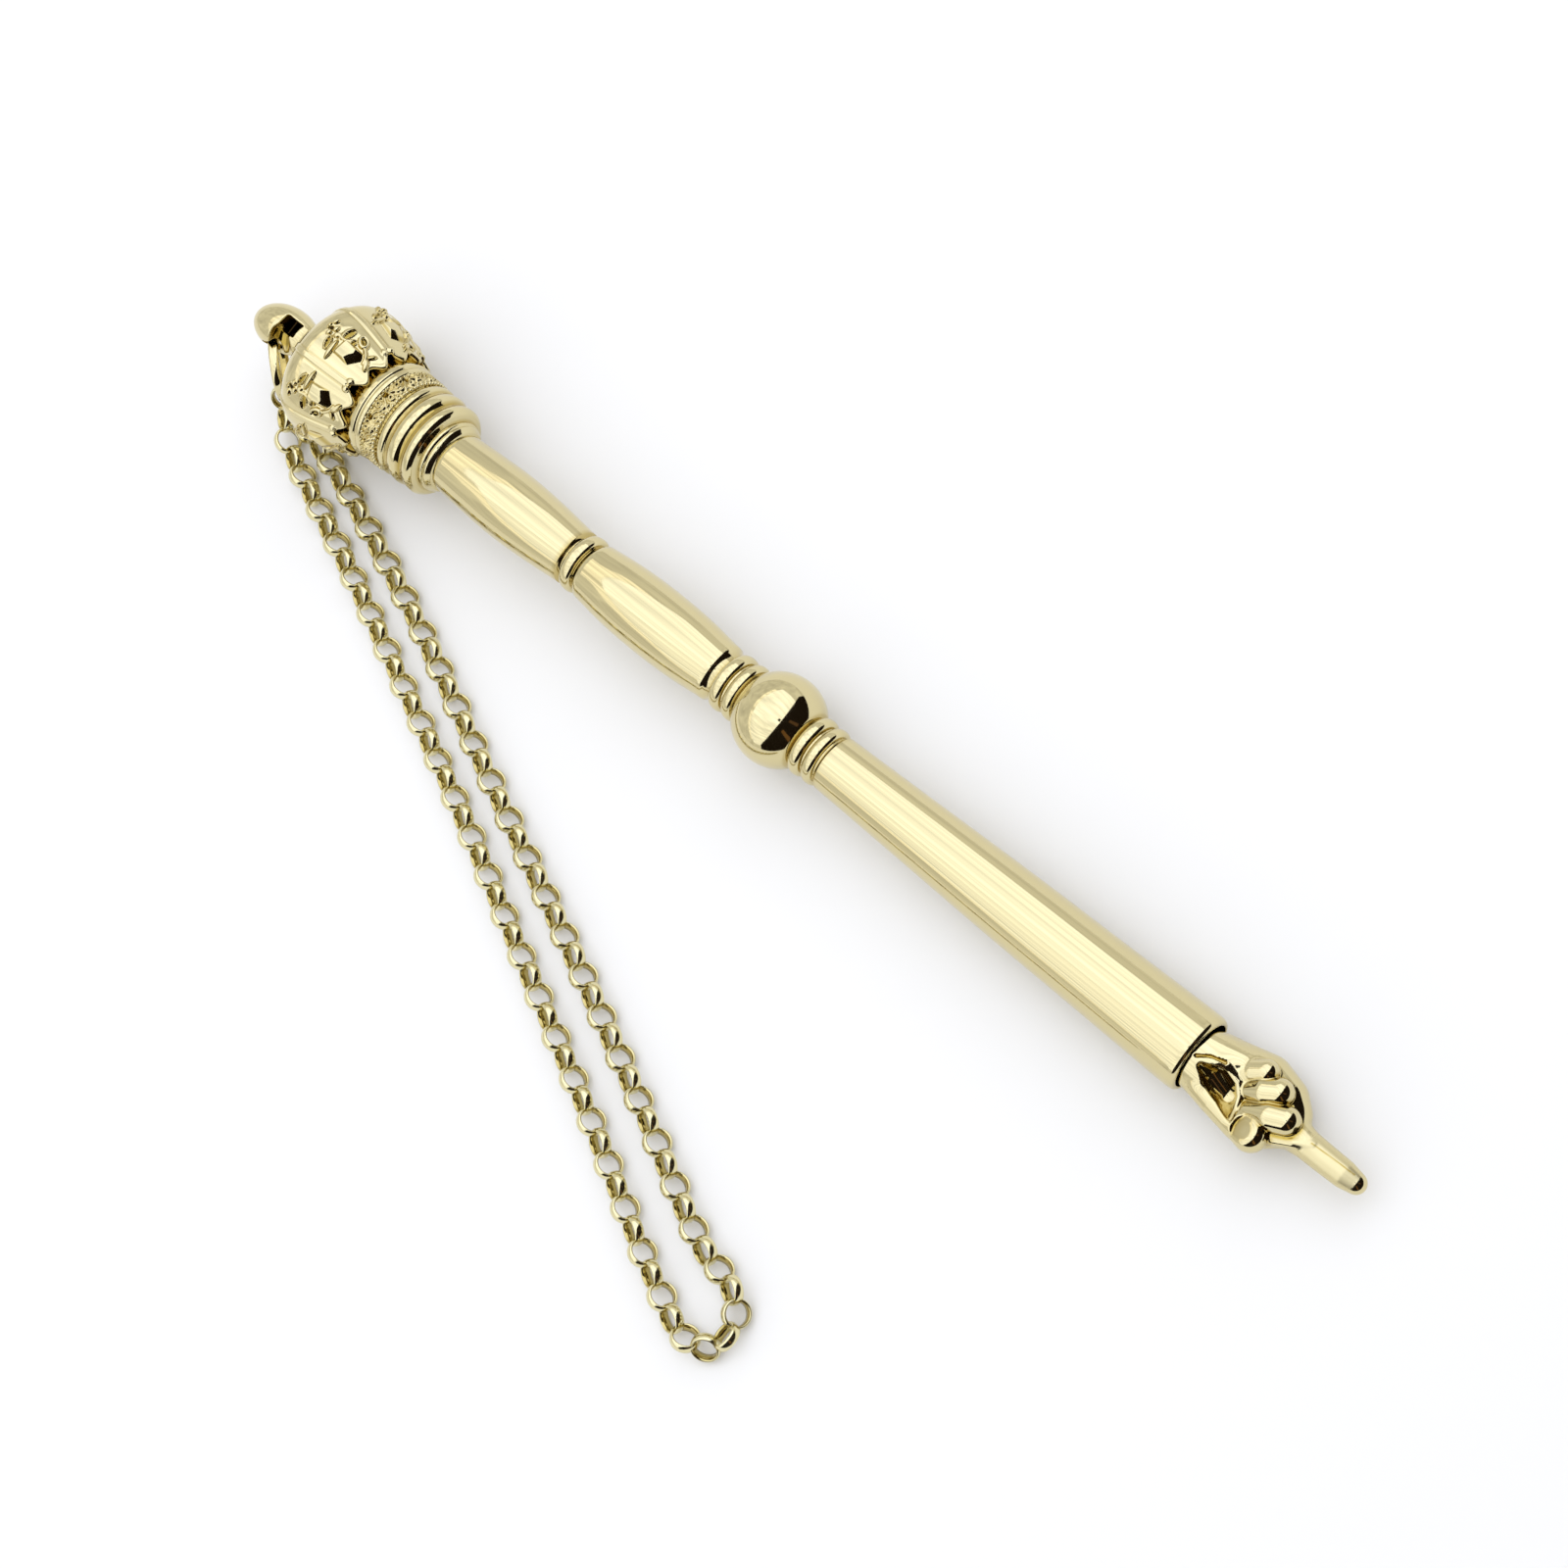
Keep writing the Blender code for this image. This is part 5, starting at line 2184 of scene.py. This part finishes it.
@dataclass
class Studio:
    """Light tent, pale table and the camera.

    Attributes:
        camera_place: Where the camera stands, in millimetres.
        camera_target: What it looks at.
        camera_roll: How far it is turned from a level pointer.
        lens: Focal length for a sensor 36 mm wide.
        table_colour: Colour of the table, linear.
        side_radiance: Brightness of the tent's sides.
    """

    camera_place: Triple = (275.51, 0.0, 388.88)
    camera_target: Triple = (96.70, -6.36, 7.55)
    camera_roll: float = math.radians(38.96)
    lens: float = 71.5
    table_colour: Colour = (0.84, 0.825, 0.785)
    side_radiance: float = 0.85

    def build(self) -> None:
        """Sets the whole stage."""
        bpy.context.scene.view_settings.view_transform = "Standard"
        self.floor()
        self.world()
        for panel in self.panels():
            panel.build()
        self.camera()

    def panels(self) -> list[Panel]:
        """The tent's overhead cloth, its soft inner edge, its dark opening and what is seen in that.

        Returns:
            The panels.
        """
        return [
            Cloth("overhead cloth", (32.0, 330.0, 460.0), (640.0, 1040.0), (1.58, 1.64, 1.84), folds=0.24),
            Cloth(
                "near overhead cloth",
                (32.0, -1520.0, 460.0),
                (640.0, 2660.0),
                (1.36, 1.40, 1.52),
                folds=0.28,
            ),
            Cloth("overhead edge", (-345.0, -700.0, 459.0), (110.0, 2600.0), (1.35, 1.32, 1.28), folds=0.35),
            Panel("tent opening", (352.0, 0.0, 235.0), (4200.0, 470.0), (0.012, 0.008, 0.006)),
            Panel("sleeve seen in the opening", (350.0, -95.0, 150.0), (46.0, 220.0), (0.16, 0.08, 0.03)),
            Panel("arm seen in the opening", (350.0, 80.0, 190.0), (40.0, 160.0), (0.10, 0.055, 0.03)),
            Panel("lens", (290.0, 0.0, 430.0), (52.0, 52.0), (0.02, 0.02, 0.02), hangs=True),
        ]

    def floor(self) -> None:
        """A wide pale table."""
        size = 4.0
        corners = [(-size, -size, 0), (size, -size, 0), (size, size, 0), (-size, size, 0)]
        mesh = bpy.data.meshes.new("floor")
        mesh.from_pydata(corners, [], [(0, 1, 2, 3)])
        floor = linked("floor", mesh)
        paint, _, shader = new_paint("white table")
        set_sockets(shader, Base_Color=(*self.table_colour, 1.0), Roughness=1.0, Specular_IOR_Level=0.0)
        mesh.materials.append(paint)
        floor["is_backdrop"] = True

    def world(self) -> None:
        """Even light from the tent's cloth, with a few soft folds."""
        world = bpy.data.worlds.new("tent cloth")
        world.use_nodes = True
        tree = world.node_tree
        shade = tree.nodes["Background"]
        where = tree.nodes.new("ShaderNodeTexCoord").outputs["Generated"]
        folds = add_noise(tree, where, Scale=2.6, Detail=2.0, Distortion=1.6)
        low, high = 0.78 * self.side_radiance, 1.12 * self.side_radiance
        glow = add_range(tree, folds, From_Min=0.3, From_Max=0.7, To_Min=low, To_Max=high)
        tree.links.new(glow, shade.inputs["Strength"])
        set_sockets(shade, Color=(1.0, 1.0, 1.0, 1.0))
        bpy.context.scene.world = world

    def camera(self) -> None:
        """The camera, beyond the fingertip and above it, rolled so that the pointer lies aslant."""
        data = bpy.data.cameras.new("camera")
        data.lens = self.lens
        data.sensor_width = 36.0
        data.clip_start = 0.01
        camera = linked("camera", data)
        place, target = Vector(self.camera_place), Vector(self.camera_target)
        forward = (target - place).normalized()
        along = POSE.matrix.to_3x3() @ Vector((1, 0, 0))
        level = (along - forward * along.dot(forward)).normalized()
        below = forward.cross(level)
        right = level * math.cos(self.camera_roll) - below * math.sin(self.camera_roll)
        down = level * math.sin(self.camera_roll) + below * math.cos(self.camera_roll)
        turn = Matrix((right, -down, -forward)).transposed().to_4x4()
        camera.matrix_world = Matrix.Translation(place * MM) @ turn
        bpy.context.scene.camera = camera


# ---------------------------------------------------------------- assembly


@dataclass
class TorahPointer:
    """The whole object.

    Attributes:
        bulb: The crown head's bulb.
        base: The crown head's lower part.
        knob: The crown head's knob.
        shaft: The turned stem and the sleeve.
        hand: The pointing hand.
        ring: The jump ring in the knob.
        chain: The chain on the ring.
    """

    bulb: CrownBulb = field(default_factory=CrownBulb)
    base: CrownBase = field(default_factory=CrownBase)
    knob: FinialKnob = field(default_factory=FinialKnob)
    shaft: Shaft = field(default_factory=Shaft)
    hand: Hand = field(default_factory=Hand)
    ring: JumpRing = field(default_factory=JumpRing)
    chain: BelcherChain = field(default_factory=BelcherChain)

    def build(self) -> None:
        """Builds and dresses every piece."""
        plating, chain_gold = PLATING.build(), CHAIN_GOLD.build()
        dress(self.bulb.build(), plating, Slot.PLATING, ["crown_head"])
        dress(self.base.build(), plating, Slot.PLATING, ["crown_head"])
        dress(self.base.build_pebbles(plating), plating, Slot.PLATING, ["crown_head"])
        dress(self.knob.build(), plating, Slot.PLATING, ["crown_head"])
        dress(self.shaft.build(), plating, Slot.PLATING, ["shaft"])
        dress(self.hand.build(), plating, Slot.PLATING, ["hand"])
        dress(self.ring.build(), plating, Slot.PLATING, ["jump_ring"])
        links = sorted(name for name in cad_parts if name.startswith("chain_links"))
        dress(self.chain.build(chain_gold), chain_gold, Slot.CHAIN, links)


def write_sizes() -> None:
    """Logs the CAD's and the visual model's bounds in millimetres."""
    sizes = {
        "cad": [list(corner) for corner in CAD_BOUNDS],
        "visual": [list(corner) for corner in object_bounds()],
    }
    for name, (low, high) in sizes.items():
        log.info("%s: %s to %s mm", name, [round(v / MM, 2) for v in low], [round(v / MM, 2) for v in high])


def main() -> None:
    """Builds the object and its stage."""
    logging.basicConfig(level=logging.INFO, format="%(name)s: %(message)s", stream=sys.stdout)
    TorahPointer().build()
    Studio().build()
    write_sizes()


if __name__ == "__main__":
    main()
